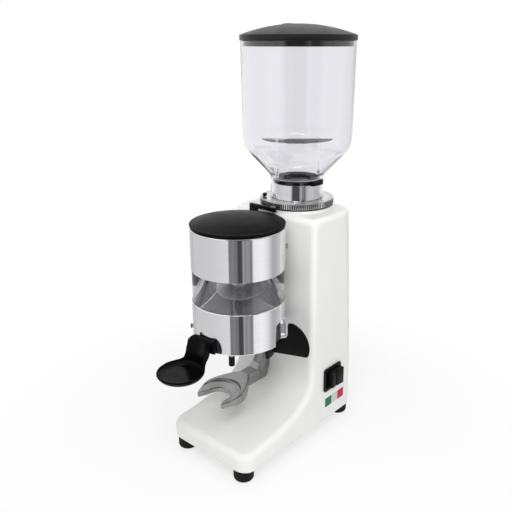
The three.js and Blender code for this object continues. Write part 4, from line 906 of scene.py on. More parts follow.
class GRINDER_OT_feet(bpy.types.Operator):
    """Moulds the four rubber feet with the screws in their recesses"""

    bl_idname = "grinder.feet"
    bl_label = "Feet"

    def execute(self, context):
        bulge = FOOT_RADIUS - FOOT_TREAD
        outline = [(FOOT_RECESS, 0), *arc(FOOT_TREAD, bulge, bulge, -90, 0, 8)]
        outline += [(FOOT_RADIUS, FOOT_HEIGHT - 0.8), (FOOT_RADIUS - 0.8, FOOT_HEIGHT), (FOOT_BORE, FOOT_HEIGHT)]
        outline += [(FOOT_BORE, FOOT_RECESS_DEPTH), (FOOT_RECESS, FOOT_RECESS_DEPTH)]
        head_top = FOOT_RECESS_DEPTH - 0.1
        head = [
            (0, FOOT_SCREW_LOW), (2.6, 3.9), (FOOT_SCREW_HEAD, FOOT_SCREW_EDGE), (FOOT_SCREW_HEAD, head_top),
            (0, head_top),
        ]
        for place in ("front_left", "front_right", "rear_left", "rear_right"):
            name = "foot_" + place
            axis = middle_of(name)
            place_piece("rubber_" + name, turned(outline, MEDIUM), foot_rubber(), "frame", [name], axis)
            slot = block(
                -FOOT_SCREW_HEAD, FOOT_SCREW_HEAD, -FOOT_SLOT / 2, FOOT_SLOT / 2, 0, FOOT_SCREW_LOW + FOOT_SLOT
            )
            screw = carved(turned(head, SMALL), slot)
            place_piece("screw_of_" + name, screw, plated_steel(), "frame", (), axis)
        return {"FINISHED"}


# Hopper

CONE_LOW = 375.9  # height at which the cone would leave the neck if nothing were rounded
CONE_RADIUS = 75.35  # where it would meet the drum
CONE_TOP = 416.6
NECK_ROUND = 18.0
SHOULDER_ROUND = 32.0
NECK_LOW = 344.8
GATE_Z = 368.3
GATE_THICKNESS = 2.0
GATE_HALF = 20.5
LID_RIM = 7.4
LID_SKIRT = 7.5
LID_WALL = 2.6
LID_EASE = 1.0
PAD_RADIUS = 9.5
PAD_SHARE = 0.55
PAD_ANGLE = 40.0
PAD_RISE = 1.0
PAD_PLACE = (-14.0, -3.0)
GUARD_RADIUS = 49.5
GUARD_Z = 424.8
GUARD_THICKNESS = 2.5
GUARD_LOW = 372.6
GUARD_LEG = 30.4
GUARD_LEG_SPAN = 25.7  # degrees
GUARD_TURN = 62.0
GUARD_DISC = 0.8


class GRINDER_OT_hopper(bpy.types.Operator):
    """Moulds the clear hopper and the guard in it"""

    bl_idname = "grinder.hopper"
    bl_label = "Hopper"

    def execute(self, context):
        hopper = sizes("hopper")
        wall = hopper.wall
        outside = [
            (hopper.neck_radius, NECK_LOW, 0.5), (hopper.neck_radius, CONE_LOW, NECK_ROUND),
            (CONE_RADIUS, CONE_TOP, SHOULDER_ROUND), (hopper.rim_radius, hopper.top, 0.8),
        ]
        inside = [
            (hopper.rim_radius - wall, hopper.top, 0.8), (CONE_RADIUS - wall, CONE_TOP, SHOULDER_ROUND - wall),
            (hopper.neck_radius - wall, CONE_LOW + wall / 2, NECK_ROUND - wall),
            (hopper.neck_radius - wall, NECK_LOW, 0.5),
        ]
        form = turned(eased(outside + inside, steps=10))
        slot = block(
            0, hopper.neck_radius + OVERRUN, -GATE_HALF - HALF, GATE_HALF + HALF,
            GATE_Z - HALF, GATE_Z + GATE_THICKNESS + HALF,
        )
        form = carved(form, slot)
        place_piece("hopper_shell", form, hopper_clear(), "grind_ring", ["hopper"])
        self.guard(hopper)
        return {"FINISHED"}

    def guard(self, hopper):
        outer = hopper.neck_radius - hopper.wall - GAP
        top = GUARD_Z + GUARD_THICKNESS
        disc = [(0, top - GUARD_DISC), (GUARD_RADIUS, top - GUARD_DISC, 0.5), (GUARD_RADIUS, top, 0.5), (0, top)]
        leg = box_outline(GUARD_LEG, outer, GUARD_LOW, top - GUARD_DISC / 2, 0.7)
        half = GUARD_LEG_SPAN / 2
        legs = [sector(leg, -half + turn, half + turn, 10) for turn in (GUARD_TURN, GUARD_TURN + 180)]
        base = turned(box_outline(GUARD_LEG, outer, GUARD_LOW, GUARD_LOW + 3, 0.6))
        form = welded(base, *legs, turned(eased(disc)))
        place_piece("guard_on_legs", form, guard_clear(), "grind_ring", ["finger_guard"])


def lid_outline(plug, depth, low, rim, shoulder, high, dome):
    """Section of a domed lid: the plug that stands in the opening, the rim's points and the shell over them."""
    inner = plug - LID_WALL
    return [
        (inner, low - depth), (plug, low - depth), (plug, low), *rim, *cap_arc(shoulder, high, dome),
        *cap_arc(inner, high - LID_WALL, dome - LID_WALL / 2, 8)[::-1],
    ]


class GRINDER_OT_hopper_lid(bpy.types.Operator):
    """Moulds the hopper's domed lid"""

    bl_idname = "grinder.hopper_lid"
    bl_label = "Hopper lid"

    def execute(self, context):
        hopper = sizes("hopper")
        low = hopper.top + GAP
        high = low + LID_RIM
        outer = hopper.lid_radius
        rim = [
            (outer - 0.5, low), (outer, low + 0.5), (outer, high - LID_EASE),
            (outer - LID_EASE * 0.35, high - LID_EASE * 0.3),
        ]
        skirt = hopper.rim_radius - hopper.wall - HALF
        form = turned(lid_outline(skirt, LID_SKIRT, low, rim, outer - LID_EASE, high, hopper.lid_dome))
        crown = high + hopper.lid_dome
        foot = crown - LID_WALL
        pad = turned([(0, foot), (PAD_RADIUS, foot), *cap_arc(PAD_RADIUS, crown - 0.4, PAD_RISE)])
        moved(pad, Matrix.Diagonal((1, PAD_SHARE, 1, 1)))
        shifted(about_z(pad, PAD_ANGLE), *PAD_PLACE)
        form = together(form, pad)
        place_piece("hopper_cover", form, grained_black(), "bean_lid", ["hopper_lid"])
        return {"FINISHED"}


# Gate in the neck

FRAME_HOLE = 19.0
FRAME_LOW = 366.3
FRAME_HEIGHT = 6.0
TAB_INNER = 37.3
TAB_REACH = 41.5
TAB_SPAN = (-21.0, 10.0)
TAB_HEIGHT = 7.0


class GRINDER_OT_gate(bpy.types.Operator):
    """Makes the sliding gate and the ring that guides it"""

    bl_idname = "grinder.gate"
    bl_label = "Gate"

    def execute(self, context):
        hopper = sizes("hopper")
        outer = hopper.neck_radius - hopper.wall - GAP
        ring = turned(box_outline(FRAME_HOLE, outer, FRAME_LOW, FRAME_LOW + FRAME_HEIGHT, 0.6))
        channel = block(
            -GATE_HALF - GAP, hopper.neck_radius, -GATE_HALF - GAP, GATE_HALF + GAP,
            GATE_Z - GAP, GATE_Z + GATE_THICKNESS + GAP,
        )
        ring = carved(ring, channel)
        place_piece("gate_guide", ring, smooth_black(), "grind_ring", ["gate_frame"])
        gate_top = GATE_Z + GATE_THICKNESS
        plate = prism(box_outline(-GATE_HALF, TAB_INNER + GAP, -GATE_HALF, GATE_HALF, 1.5), GATE_Z, gate_top)
        plate = shared(plate, drill(TAB_INNER + GAP, GATE_Z, gate_top, FINE))
        middle = GATE_Z + GATE_THICKNESS / 2
        tab = box_outline(TAB_INNER, TAB_REACH, middle - TAB_HEIGHT / 2, middle + TAB_HEIGHT / 2, 1.2)
        grip = sector(tab, *TAB_SPAN, 16)
        form = softened(welded(plate, grip), 0.35, 2, 50)
        place_piece("gate_slide_plate", form, smooth_black(), "gate", ["hopper_gate"])
        return {"FINISHED"}


# Grind ring and what turns with it

RING_BORE = 37.8
RING_CHAMFER = 1.0
FLANGE_BORE = 47.0
FLANGE_TOP = 338.2
COLLAR = [
    (24.0, 310.1), (35.4, 310.1), (35.4, 338.2), (37.5, 338.2), (37.5, 344.2), (32.5, 344.2),
    (32.5, 366.0), (29.0, 366.0), (24.0, 356.0),
]
GASKET_RADIUS = 51.8
GASKET_LOW = 334.9
GASKET_TOP = 335.7
PIN_RADIUS = 3.0
PIN_HEIGHT = 4.2


class GRINDER_OT_grind_ring(bpy.types.Operator):
    """Knurls the grind ring and turns the collar, the gasket and the stud"""

    bl_idname = "grinder.grind_ring"
    bl_label = "Grind ring"

    def execute(self, context):
        ring = sizes("ring")
        top = ring.low + ring.height
        edge = ring.radius - RING_CHAMFER
        outline = [
            (FLANGE_BORE, ring.low), (edge, ring.low), (ring.radius, ring.low + RING_CHAMFER),
            (ring.radius, top - RING_CHAMFER), (edge, top), (edge - 5.6, top), (edge - 6.0, top - 0.5),
            (RING_BORE + 0.4, top - 0.5), (RING_BORE, top - 0.9), (RING_BORE, FLANGE_TOP), (FLANGE_BORE, FLANGE_TOP),
        ]
        steps = settings("ring").knurls * 2
        root = ring.radius - ring.knurl_depth
        form = dented(turned(outline, steps), steps, lambda i, reach, z: i % 2 and reach > root, ring.knurl_depth)
        place_piece("knurled_ring", form, scaled_ring(), "grind_ring", ["adjusting_ring"], sharp=25)
        collar = turned(eased(COLLAR, 0.6, 3))
        place_piece("neck_collar", collar, bright_cast(), "grind_ring", ["upper_burr_carrier"])
        seal = turned(box_outline(FLANGE_BORE, GASKET_RADIUS, GASKET_LOW, GASKET_TOP, 0.3))
        place_piece("ring_seal", seal, foot_rubber(), "frame", ["ring_gasket"])
        axis = middle_of("ring_pin")
        stud = rod(PIN_RADIUS, top + GAP, top + GAP + PIN_HEIGHT, 0.7)
        place_piece("ring_stud", stud, smooth_black(), "grind_ring", ["ring_pin"], axis)
        return {"FINISHED"}


# Lock lever

LOCK_Y = -56.0
LOCK_HALF = 2.3
LOCK_LOW = 333.3
LOCK_TOP = 338.7
LOCK_LEFT = -39.0
LOCK_RIGHT = 9.1
LOCK_KNOB = 14.5
LOCK_KNOB_LOW = 327.3
LOCK_TOOTH_X = -12.0
LOCK_TOOTH_Y = -51.4
LOCK_TOOTH_HALF = 2.5
LOCK_PIVOT = 4.5
LOCK_BORE = 1.8
LOCK_SHANK = 1.5
LOCK_SCREW_LOW = 324.2
LOCK_SLOT = 0.9  # width and depth
LOCK_HEAD = 3.6
LOCK_HEAD_LOW = 339.0
LOCK_HEAD_TOP = 341.0


class GRINDER_OT_lock(bpy.types.Operator):
    """Makes the lever that holds the grind ring, and its screw"""

    bl_idname = "grinder.lock"
    bl_label = "Ring lock"

    def execute(self, context):
        back, front = LOCK_Y + LOCK_HALF, LOCK_Y - LOCK_HALF
        bar = prism(box_outline(LOCK_LEFT, LOCK_RIGHT, front, back, 2.0), LOCK_LOW, LOCK_TOP)
        knob = prism(box_outline(LOCK_LEFT, LOCK_LEFT + LOCK_KNOB, front, back, 2.0), LOCK_KNOB_LOW, LOCK_TOP)
        tooth = prism(
            [(LOCK_TOOTH_X - LOCK_TOOTH_HALF, LOCK_Y), (LOCK_TOOTH_X + LOCK_TOOTH_HALF, LOCK_Y),
             (LOCK_TOOTH_X + LOCK_TOOTH_HALF / 2, LOCK_TOOTH_Y), (LOCK_TOOTH_X - LOCK_TOOTH_HALF / 2, LOCK_TOOTH_Y)],
            sizes("ring").low + GAP, LOCK_TOP,
        )
        bore = shifted(drill(LOCK_BORE, LOCK_LOW, LOCK_TOP), LOCK_PIVOT, LOCK_Y)
        form = softened(carved(welded(bar, knob, tooth), bore), 0.6, 2, 40)
        place_piece("ring_lock_lever", form, smooth_black(), "ring_lock", ["lock_lever"])
        head = [(0, LOCK_SCREW_LOW), (LOCK_SHANK, LOCK_SCREW_LOW)]
        head += [(LOCK_SHANK, LOCK_HEAD_LOW), (LOCK_HEAD, LOCK_HEAD_LOW)]
        head += [(LOCK_HEAD, LOCK_HEAD_TOP - 0.7), (LOCK_HEAD - 0.9, LOCK_HEAD_TOP), (0, LOCK_HEAD_TOP)]
        slot = block(
            -LOCK_HEAD, LOCK_HEAD, -LOCK_SLOT / 2, LOCK_SLOT / 2, LOCK_HEAD_TOP - LOCK_SLOT, LOCK_HEAD_TOP + 1
        )
        screw = shifted(about_z(carved(turned(head, SMALL), slot), 25), LOCK_PIVOT, LOCK_Y)
        place_piece("lock_pivot_screw", screw, plated_steel(), "frame", ["lock_screw"])
        return {"FINISHED"}


# Doser, drawn about its own axis

LIP_RADIUS = 57.0
FLOOR_LOW = 175.7
RABBET = 61.6
RIM_ROUND = 1.25
RIM_CHAMFER = 0.8
SEAT = 5.5
WINDOW_RADIUS = 61.3
WINDOW_WALL = 3.2
DOSER_LID_RADIUS = 62.6
DOSER_LID_RIM = 4.2
DOSER_PLUG = 7.0
BEAD = 0.75  # radius of the bead round the doser lid
SLOT_FROM = 3.5  # degrees round the doser's axis
TONGUE_FROM = 22.5
TONGUE_TO = 49.0
SLOT_TO = 67.0
SLOT_TOP = 204.0
TONGUE_LOW = 177.0
TONGUE_PROUD = 2.6
SLOT_ROUND = 7.4
TONGUE_ROUND = 6.9


def on_chord(radius, angle):
    """Where an angle falls on the chord across the slots' middle line."""
    return radius * math.sin(math.radians(angle - TONGUE_TO))


class GRINDER_OT_doser_bands(bpy.types.Operator):
    """Rolls the two polished bands and the window between them"""

    bl_idname = "grinder.doser_bands"
    bl_label = "Doser bands and window"

    def execute(self, context):
        doser = sizes("doser")
        radius = doser.band_radius
        inner = radius - doser.band_wall
        seat_low = doser.window_low - SEAT - GAP
        lower = turned(eased([
            (LIP_RADIUS, doser.low), (radius, doser.low, RIM_ROUND), (radius, doser.window_low - RIM_CHAMFER),
            (RABBET, doser.window_low), (RABBET, seat_low), (inner, seat_low), (inner, FLOOR_LOW),
            (LIP_RADIUS, FLOOR_LOW),
        ]))
        low = doser.low - OVERRUN
        a, b = on_chord(radius, SLOT_FROM), on_chord(radius, TONGUE_FROM)
        c, d = on_chord(radius, TONGUE_TO), on_chord(radius, SLOT_TO)
        opening = eased([
            (a, low), (a, SLOT_TOP, SLOT_ROUND), (b, SLOT_TOP, SLOT_ROUND), (b, TONGUE_LOW, TONGUE_ROUND),
            (c, TONGUE_LOW, TONGUE_ROUND), (c, SLOT_TOP, SLOT_ROUND), (d, SLOT_TOP, SLOT_ROUND), (d, low),
        ], steps=8)
        cutter = about_z(slab_x(opening, radius * 0.7, radius + OVERRUN), TONGUE_TO)
        bent = eased([
            (b, SLOT_TOP, 3), (b, TONGUE_LOW, TONGUE_ROUND), (c, TONGUE_LOW, TONGUE_ROUND), (c, SLOT_TOP, 3),
        ], steps=8)
        bent = about_z(slab_x(bent, radius * 0.7, radius + TONGUE_PROUD * 2), TONGUE_TO)
        shell = box_outline(radius - 1, radius + TONGUE_PROUD, doser.low, SLOT_TOP + OVERRUN, 0.8)
        lower = welded(carved(lower, cutter), shared(turned(shell), bent))
        seat_top = doser.window_top + SEAT + GAP
        upper = turned(eased([
            (RABBET, doser.window_top), (radius, doser.window_top, RIM_ROUND), (radius, doser.top, RIM_ROUND),
            (inner, doser.top), (inner, seat_top), (RABBET, seat_top),
        ]))
        mouth = block(-MOUTH_HALF, MOUTH_HALF, inner - 9, radius + OVERRUN, DUCT_Z - MOUTH_RISE, DUCT_Z + MOUTH_RISE)
        for name, form in (("lower_band", lower), ("upper_band", carved(upper, mouth))):
            place_piece(
                name, form, polished_steel(), "frame", ["doser_" + name], DOSER, weighted=True
            )
        tube = box_outline(
            WINDOW_RADIUS - WINDOW_WALL, WINDOW_RADIUS, doser.window_low - SEAT, doser.window_top + SEAT
        )
        window = turned(eased(tube, 0.3, 2))
        place_piece("window_tube", window, window_clear(), "frame", ["doser_window"], DOSER)
        return {"FINISHED"}


class GRINDER_OT_doser_lid(bpy.types.Operator):
    """Moulds the doser's domed lid"""

    bl_idname = "grinder.doser_lid"
    bl_label = "Doser lid"

    def execute(self, context):
        doser = sizes("doser")
        low = doser.top + GAP
        high = low + DOSER_LID_RIM
        outer = DOSER_LID_RADIUS
        rim = [
            (outer - 1.2, low), (outer - 0.7, low + 0.5), (outer - 0.6, high - BEAD * 2),
            *arc(outer - BEAD, high - BEAD, BEAD, -60, 90, 8),
        ]
        plug = doser.band_radius - doser.band_wall - HALF
        form = turned(lid_outline(plug, DOSER_PLUG, low, rim, outer - 1.4, high, doser.lid_dome))
        place_piece("doser_cover", form, matt_black(), "coffee_lid", ["doser_lid"], DOSER)
        return {"FINISHED"}


# Dosing star

STAR_HUB = 12.0
STAR_ROOT = 11.0
STAR_BORE = 4.3
STAR_LOW = 181.5
STAR_TOP = 280.0
FLARE_RADIUS = 31.0
FLARE_Z = 238.0
FLARE_LIP = 1.8
FLARE_HANDLE = 3.0
FLARE_HEIGHT = 8.0
VANES = 6
VANE_RADIUS = 56.5
VANE_RIM = 225.0
VANE_THICKNESS = 2.4
VANE_CURL = 13.0
SPINDLE_RADIUS = 4.0
SPINDLE_LOW = 146.0
SPINDLE_TOP = 292.0
STAR_NUT = (14.0, 280.3, 287.3)  # across flats, from, to
SPINDLE_NUT = (13.0, 147.4, 151.4)
RATCHET_RADIUS = 10.4
RATCHET_TEETH = 12
RATCHET_DEPTH = 1.6
RATCHET_LEAN = 0.85  # of a tooth's pitch, from its root to its tip
RATCHET_LOW = 172.0
RATCHET_TOP = 175.2


def vane():
    """One curled vane seen from above, raised to the star's height."""
    steps = 10
    start = (STAR_ROOT + SPINDLE_RADIUS) / 2
    run = VANE_RADIUS - STAR_ROOT / 2
    middle = []
    for i in range(steps + 1):
        reach = start + run * i / steps
        angle = math.radians(VANE_CURL * (i / steps) ** 2)
        middle.append(Vector((reach * math.cos(angle), reach * math.sin(angle))))
    sides = {1: [], -1: []}
    for i, point in enumerate(middle):
        along = (middle[min(i + 1, steps)] - middle[max(i - 1, 0)]).normalized()
        for sign, side in sides.items():
            side.append(point + Vector((-along.y, along.x)) * sign * VANE_THICKNESS / 2)
    return prism([tuple(p) for p in sides[-1] + sides[1][::-1]], STAR_LOW, FLARE_Z + FLARE_HANDLE)


def hexagon_nut(across, low, high):
    radius = across / math.sqrt(3)
    form = bmesh.new()
    bmesh.ops.create_circle(form, cap_ends=True, segments=6, radius=radius)
    raised = bmesh.ops.extrude_face_region(form, geom=list(form.faces))["geom"]
    bmesh.ops.translate(form, vec=(0, 0, high - low), verts=[g for g in raised if isinstance(g, bmesh.types.BMVert)])
    shifted(healed(form), z=low)
    chamfer = turned([
        (0, low), (radius - 1.2, low), (radius, low + 0.8), (radius, high - 0.8), (radius - 1.2, high), (0, high),
    ], SMALL)
    return carved(shared(form, chamfer), drill(SPINDLE_RADIUS + GAP, low, high))


class GRINDER_OT_star(bpy.types.Operator):
    """Makes the dosing star, its spindle, nuts and ratchet wheel"""

    bl_idname = "grinder.star"
    bl_label = "Dosing star"

    def execute(self, context):
        flare = curve(
            (FLARE_RADIUS, FLARE_Z), (STAR_HUB + FLARE_HANDLE, FLARE_Z + FLARE_HANDLE / 8),
            (STAR_HUB, FLARE_Z + FLARE_HANDLE / 2), (STAR_HUB, FLARE_Z + FLARE_HEIGHT), 16,
        )
        hub = turned([
            (STAR_BORE, STAR_LOW), (STAR_ROOT, STAR_LOW), (STAR_ROOT, FLARE_Z - FLARE_LIP),
            (FLARE_RADIUS - 0.5, FLARE_Z - FLARE_LIP), (FLARE_RADIUS, FLARE_Z - FLARE_LIP + 0.5), *flare,
            (STAR_HUB, STAR_TOP - 1), (STAR_HUB - 1, STAR_TOP), (STAR_BORE, STAR_TOP),
        ])
        roof = turned([
            (STAR_BORE, STAR_LOW), (VANE_RADIUS, STAR_LOW), (VANE_RADIUS, VANE_RIM),
            (FLARE_RADIUS, FLARE_Z - FLARE_LIP / 2), (STAR_BORE, FLARE_Z - GAP),
        ], MEDIUM)
        blades = shared(vane(), roof)
        bmesh.ops.spin(
            blades, geom=[*blades.verts, *blades.edges, *blades.faces], cent=(0, 0, 0), axis=(0, 0, 1),
            dvec=(0, 0, 0), angle=math.tau * (VANES - 1) / VANES, steps=VANES - 1, use_duplicate=True,
        )
        form = together(hub, blades)
        place_piece("dosing_star", form, blasted_cast(), "star_wheel", ["star"], DOSER)
        spindle = rod(SPINDLE_RADIUS, SPINDLE_LOW, SPINDLE_TOP, 0.8)
        place_piece("spindle", spindle, plated_steel(), "star_wheel", ["star_spindle"], DOSER)
        for name, nut, replaced in (("hub_nut", STAR_NUT, "star_nut"), ("end_nut", SPINDLE_NUT, "spindle_nut")):
            place_piece(name, hexagon_nut(*nut), plated_steel(), "star_wheel", [replaced], DOSER)
        teeth = []
        for i in range(RATCHET_TEETH):
            for reach, turn in ((RATCHET_RADIUS - RATCHET_DEPTH, 0.0), (RATCHET_RADIUS, RATCHET_LEAN)):
                angle = math.tau * (i + turn) / RATCHET_TEETH
                teeth.append((reach * math.cos(angle), reach * math.sin(angle)))
        wheel = carved(prism(teeth, RATCHET_LOW, RATCHET_TOP), drill(SPINDLE_RADIUS + GAP, RATCHET_LOW, RATCHET_TOP))
        wheel = softened(wheel, 0.2, 1, 50)
        place_piece("toothed_wheel", wheel, tool_steel(), "star_wheel", ["ratchet_wheel"], DOSER)
        return {"FINISHED"}


# Pull lever

LEVER_ANGLE = 30.0
LEVER_HUB = 9.0
LEVER_HUB_LOW = 161.5
LEVER_HUB_TOP = 170.5
LEVER_Z = 163.0
LEVER_THICKNESS = 6.0
LEVER_HALF = 5.0
LEVER_REACH = 47.0
WING_INNER = 47.0
WING_ROOT = 66.8
WING_REACH = 98.0
WING_LOW = 146.6
WING_TOP = 194.4
WING_SHOULDER = (85.0, 186.3)
WING_CREST = 71.5
WING_HEEL = 4.0
WING_CORNER = 5.0
WING_HALF = 2.4
SKIRT_INNER = 44.0
SKIRT_WALL = 5.0
SKIRT_SPAN = (-25.0, 2.0)
SKIRT_LOW = 149.6
SPRING_RADIUS = 7.2
SPRING_WIRE = 0.75
SPRING_TURNS = 3
SPRING_PITCH = 2.3
SPRING_TOP = 160.45
PAWL = [(11.2, 0.0), (15.2, -2.0), (20.2, -2.0), (20.2, 2.0), (13.2, 2.0)]
PAWL_LOW = 170.8


def wing_outline(band_low):
    """The fan of the lever, as (outwards, up) points."""
    top = LEVER_Z + LEVER_THICKNESS
    outline = [(WING_INNER, WING_LOW + WING_HEEL), (WING_REACH - WING_CORNER, WING_LOW)]
    outline += curve(
        outline[-1], (WING_REACH, WING_LOW + WING_HEEL / 2), (WING_REACH + WING_CORNER / 2, top), WING_SHOULDER, 16
    )[1:]
    outline += curve(
        WING_SHOULDER, (WING_SHOULDER[0] - WING_CORNER, WING_TOP - WING_HEEL),
        (WING_CREST + WING_HEEL, WING_TOP), (WING_CREST, WING_TOP), 10,
    )[1:]
    outline += curve((WING_CREST, WING_TOP), (WING_ROOT, WING_TOP), (WING_ROOT, WING_TOP),
                     (WING_ROOT, WING_TOP - WING_HEEL * 2), 6)[1:]
    outline.append((WING_ROOT, band_low + WING_HEEL * 2))
    corner = (WING_ROOT - WING_HEEL, band_low - HALF)
    outline += curve(outline[-1], (WING_ROOT, band_low + WING_HEEL), (WING_ROOT - 2, band_low), corner, 6)[1:]
    return outline + [(WING_INNER, top)]


class GRINDER_OT_lever(bpy.types.Operator):
    """Moulds the pull lever and makes the pawl and the spring"""

    bl_idname = "grinder.lever"
    bl_label = "Pull lever"

    def execute(self, context):
        hub = turned(box_outline(SPINDLE_RADIUS + GAP, LEVER_HUB, LEVER_HUB_LOW, LEVER_HUB_TOP, 0.8), MEDIUM)
        top = LEVER_Z + LEVER_THICKNESS
        arm = block(LEVER_HUB - 1.5, LEVER_REACH + LEVER_HALF, -LEVER_HALF, LEVER_HALF, LEVER_Z, top)
        arm = softened(arm, 1.0, 3)
        skirt = sector(box_outline(SKIRT_INNER, SKIRT_INNER + SKIRT_WALL, SKIRT_LOW, top, 0.5), *SKIRT_SPAN, 16)
        wing = softened(slab_y(wing_outline(sizes("doser").low), -WING_HALF, WING_HALF), 1.1, 4, 40)
        form = about_z(together(hub, arm, skirt, wing), LEVER_ANGLE)
        place_piece("pull_lever", form, smooth_black(), "lever", ["doser_lever"], DOSER)
        driver = softened(prism(PAWL, PAWL_LOW, RATCHET_TOP), 0.4, 2)
        place_piece(
            "driver_pawl", about_z(driver, LEVER_ANGLE), plated_steel(), "lever", ["pawl"], DOSER
        )
        place_piece("coil_spring", self.spring(), plated_steel(), "lever", ["return_spring"], DOSER)
        return {"FINISHED"}

    def spring(self):
        form = bmesh.new()
        section = arc(SPRING_RADIUS, SPRING_TOP - SPRING_PITCH * SPRING_TURNS, SPRING_WIRE, 0, 337.5, 15)
        face = form.faces.new([form.verts.new((r, 0, z)) for r, z in section])
        steps = SPRING_TURNS * SMALL
        bmesh.ops.spin(
            form, geom=[face], cent=(0, 0, 0), axis=(0, 0, 1), dvec=(0, 0, SPRING_PITCH / SMALL),
            angle=math.tau * SPRING_TURNS, steps=steps,
        )
        return healed(form)


# Peg, screws and mount of the doser

PEG_RADIUS = 3.1
PEG_LOW = 124.1
CAP_RADIUS = 4.3
CAP_LOW = 119.8
CAP_TOP = 133.8
BAND_SCREWS = (("upper", 48.0, 296.7), ("lower", 226.0, 188.0))
BAND_SCREW = 3.2
BAND_SCREW_RISE = 1.7
BAND_SCREW_BALL = 3.5  # radius of the head's rounding
BAND_SLOT = 0.8  # width and depth
MOUNT_HALF = 16.0
MOUNT_LOW = 186.0
MOUNT_TOP = 326.5
MOUNT_HOLE = 9.3


class GRINDER_OT_doser_fittings(bpy.types.Operator):
    """Makes the peg under the doser, the band screws and the mount behind it"""

    bl_idname = "grinder.doser_fittings"
    bl_label = "Doser fittings"

    def execute(self, context):
        axis = middle_of("stop_rod")
        peg = rod(PEG_RADIUS, PEG_LOW, FLOOR_LOW, 0.6)
        place_piece("peg", peg, plated_steel(), "frame", ["stop_rod"], axis)
        cap = [(0, CAP_LOW), (CAP_RADIUS, CAP_LOW, 1.4), (CAP_RADIUS, CAP_TOP, 0.5), (PEG_RADIUS + GAP, CAP_TOP)]
        cap += [(PEG_RADIUS + GAP, PEG_LOW - GAP), (0, PEG_LOW - GAP)]
        place_piece("peg_cap", turned(eased(cap), SMALL), foot_rubber(), "frame", ["stop_cap"], axis)
        radius = sizes("doser").band_radius + GAP
        for place, angle, height in BAND_SCREWS:
            ball = arc(0, radius - 1.5, BAND_SCREW_BALL, 25, 90, 8)
            head = [(0, radius), (BAND_SCREW, radius), *ball[:-1], (0, ball[-1][1])]
            top = radius + BAND_SCREW_RISE
            head = [(r, min(z, top)) for r, z in head]
            slot = block(-BAND_SCREW, BAND_SCREW, -BAND_SLOT / 2, BAND_SLOT / 2, top - BAND_SLOT, top + 1.3)
            form = moved(carved(turned(head, SMALL), slot), Matrix.Rotation(math.pi / 2, 4, "Y"))
            form = shifted(about_z(form, angle), z=height)
            place_piece(
                "slotted_screw_" + place, form, plated_steel(), "frame", ["band_screw_" + place], DOSER
            )
        self.mount()
        return {"FINISHED"}

    def mount(self):
        body, doser = sizes("body"), sizes("doser")
        back = body.front_y - GAP
        front = DOSER_Y + doser.band_radius - OVERRUN
        form = softened(block(-MOUNT_HALF, MOUNT_HALF, front, back, MOUNT_LOW, MOUNT_TOP), 1.2, 3)
        bowl = shifted(drill(doser.band_radius + GAP, MOUNT_LOW, MOUNT_TOP, FINE), 0, DOSER_Y)
        duct = block(-DUCT_HALF, DUCT_HALF, front - 1, back + 1, DUCT_Z - DUCT_RISE, DUCT_Z + DUCT_RISE)
        hole = shifted(rod(LOCK_BORE, MOUNT_TOP - MOUNT_HOLE, MOUNT_TOP + OVERRUN), LOCK_PIVOT, LOCK_Y)
        form = carved(form, bowl, duct, hole)
        place_piece("mount_saddle", form, satin_cast(), "frame", ["doser_mount"])


# Tamper

TAMPER_ANGLE = -88.7
SADDLE_HALF = 14.3  # degrees
SADDLE_WALL = 5.0
SADDLE_LOW = 172.6
SADDLE_TOP = 191.0
DISH_X = -6.0
DISH_Y = -223.0
DISH_RADIUS = 31.0
DISH_TOP = 157.4
DISH_FLOOR = 153.2
DISH_SOLE = 149.6
SOLE_RADIUS = 26.5
DISH_LIP = 2.2
ARM_TOP_HALF = 9.5
ARM_WAIST_HALF = 16.5
ARM_SHOULDER = 6.5
ARM_ASIDE = -1.0
ARM_LEAN = 2.0  # from the dish's rim back to the arm's front at its top
ARM_BACK = 9.0  # from the dish's rim to the arm's back
ARM_DIP = 6.0  # over the dish's rim, where the arm spreads
TAMPER_GRAIN = 0.55


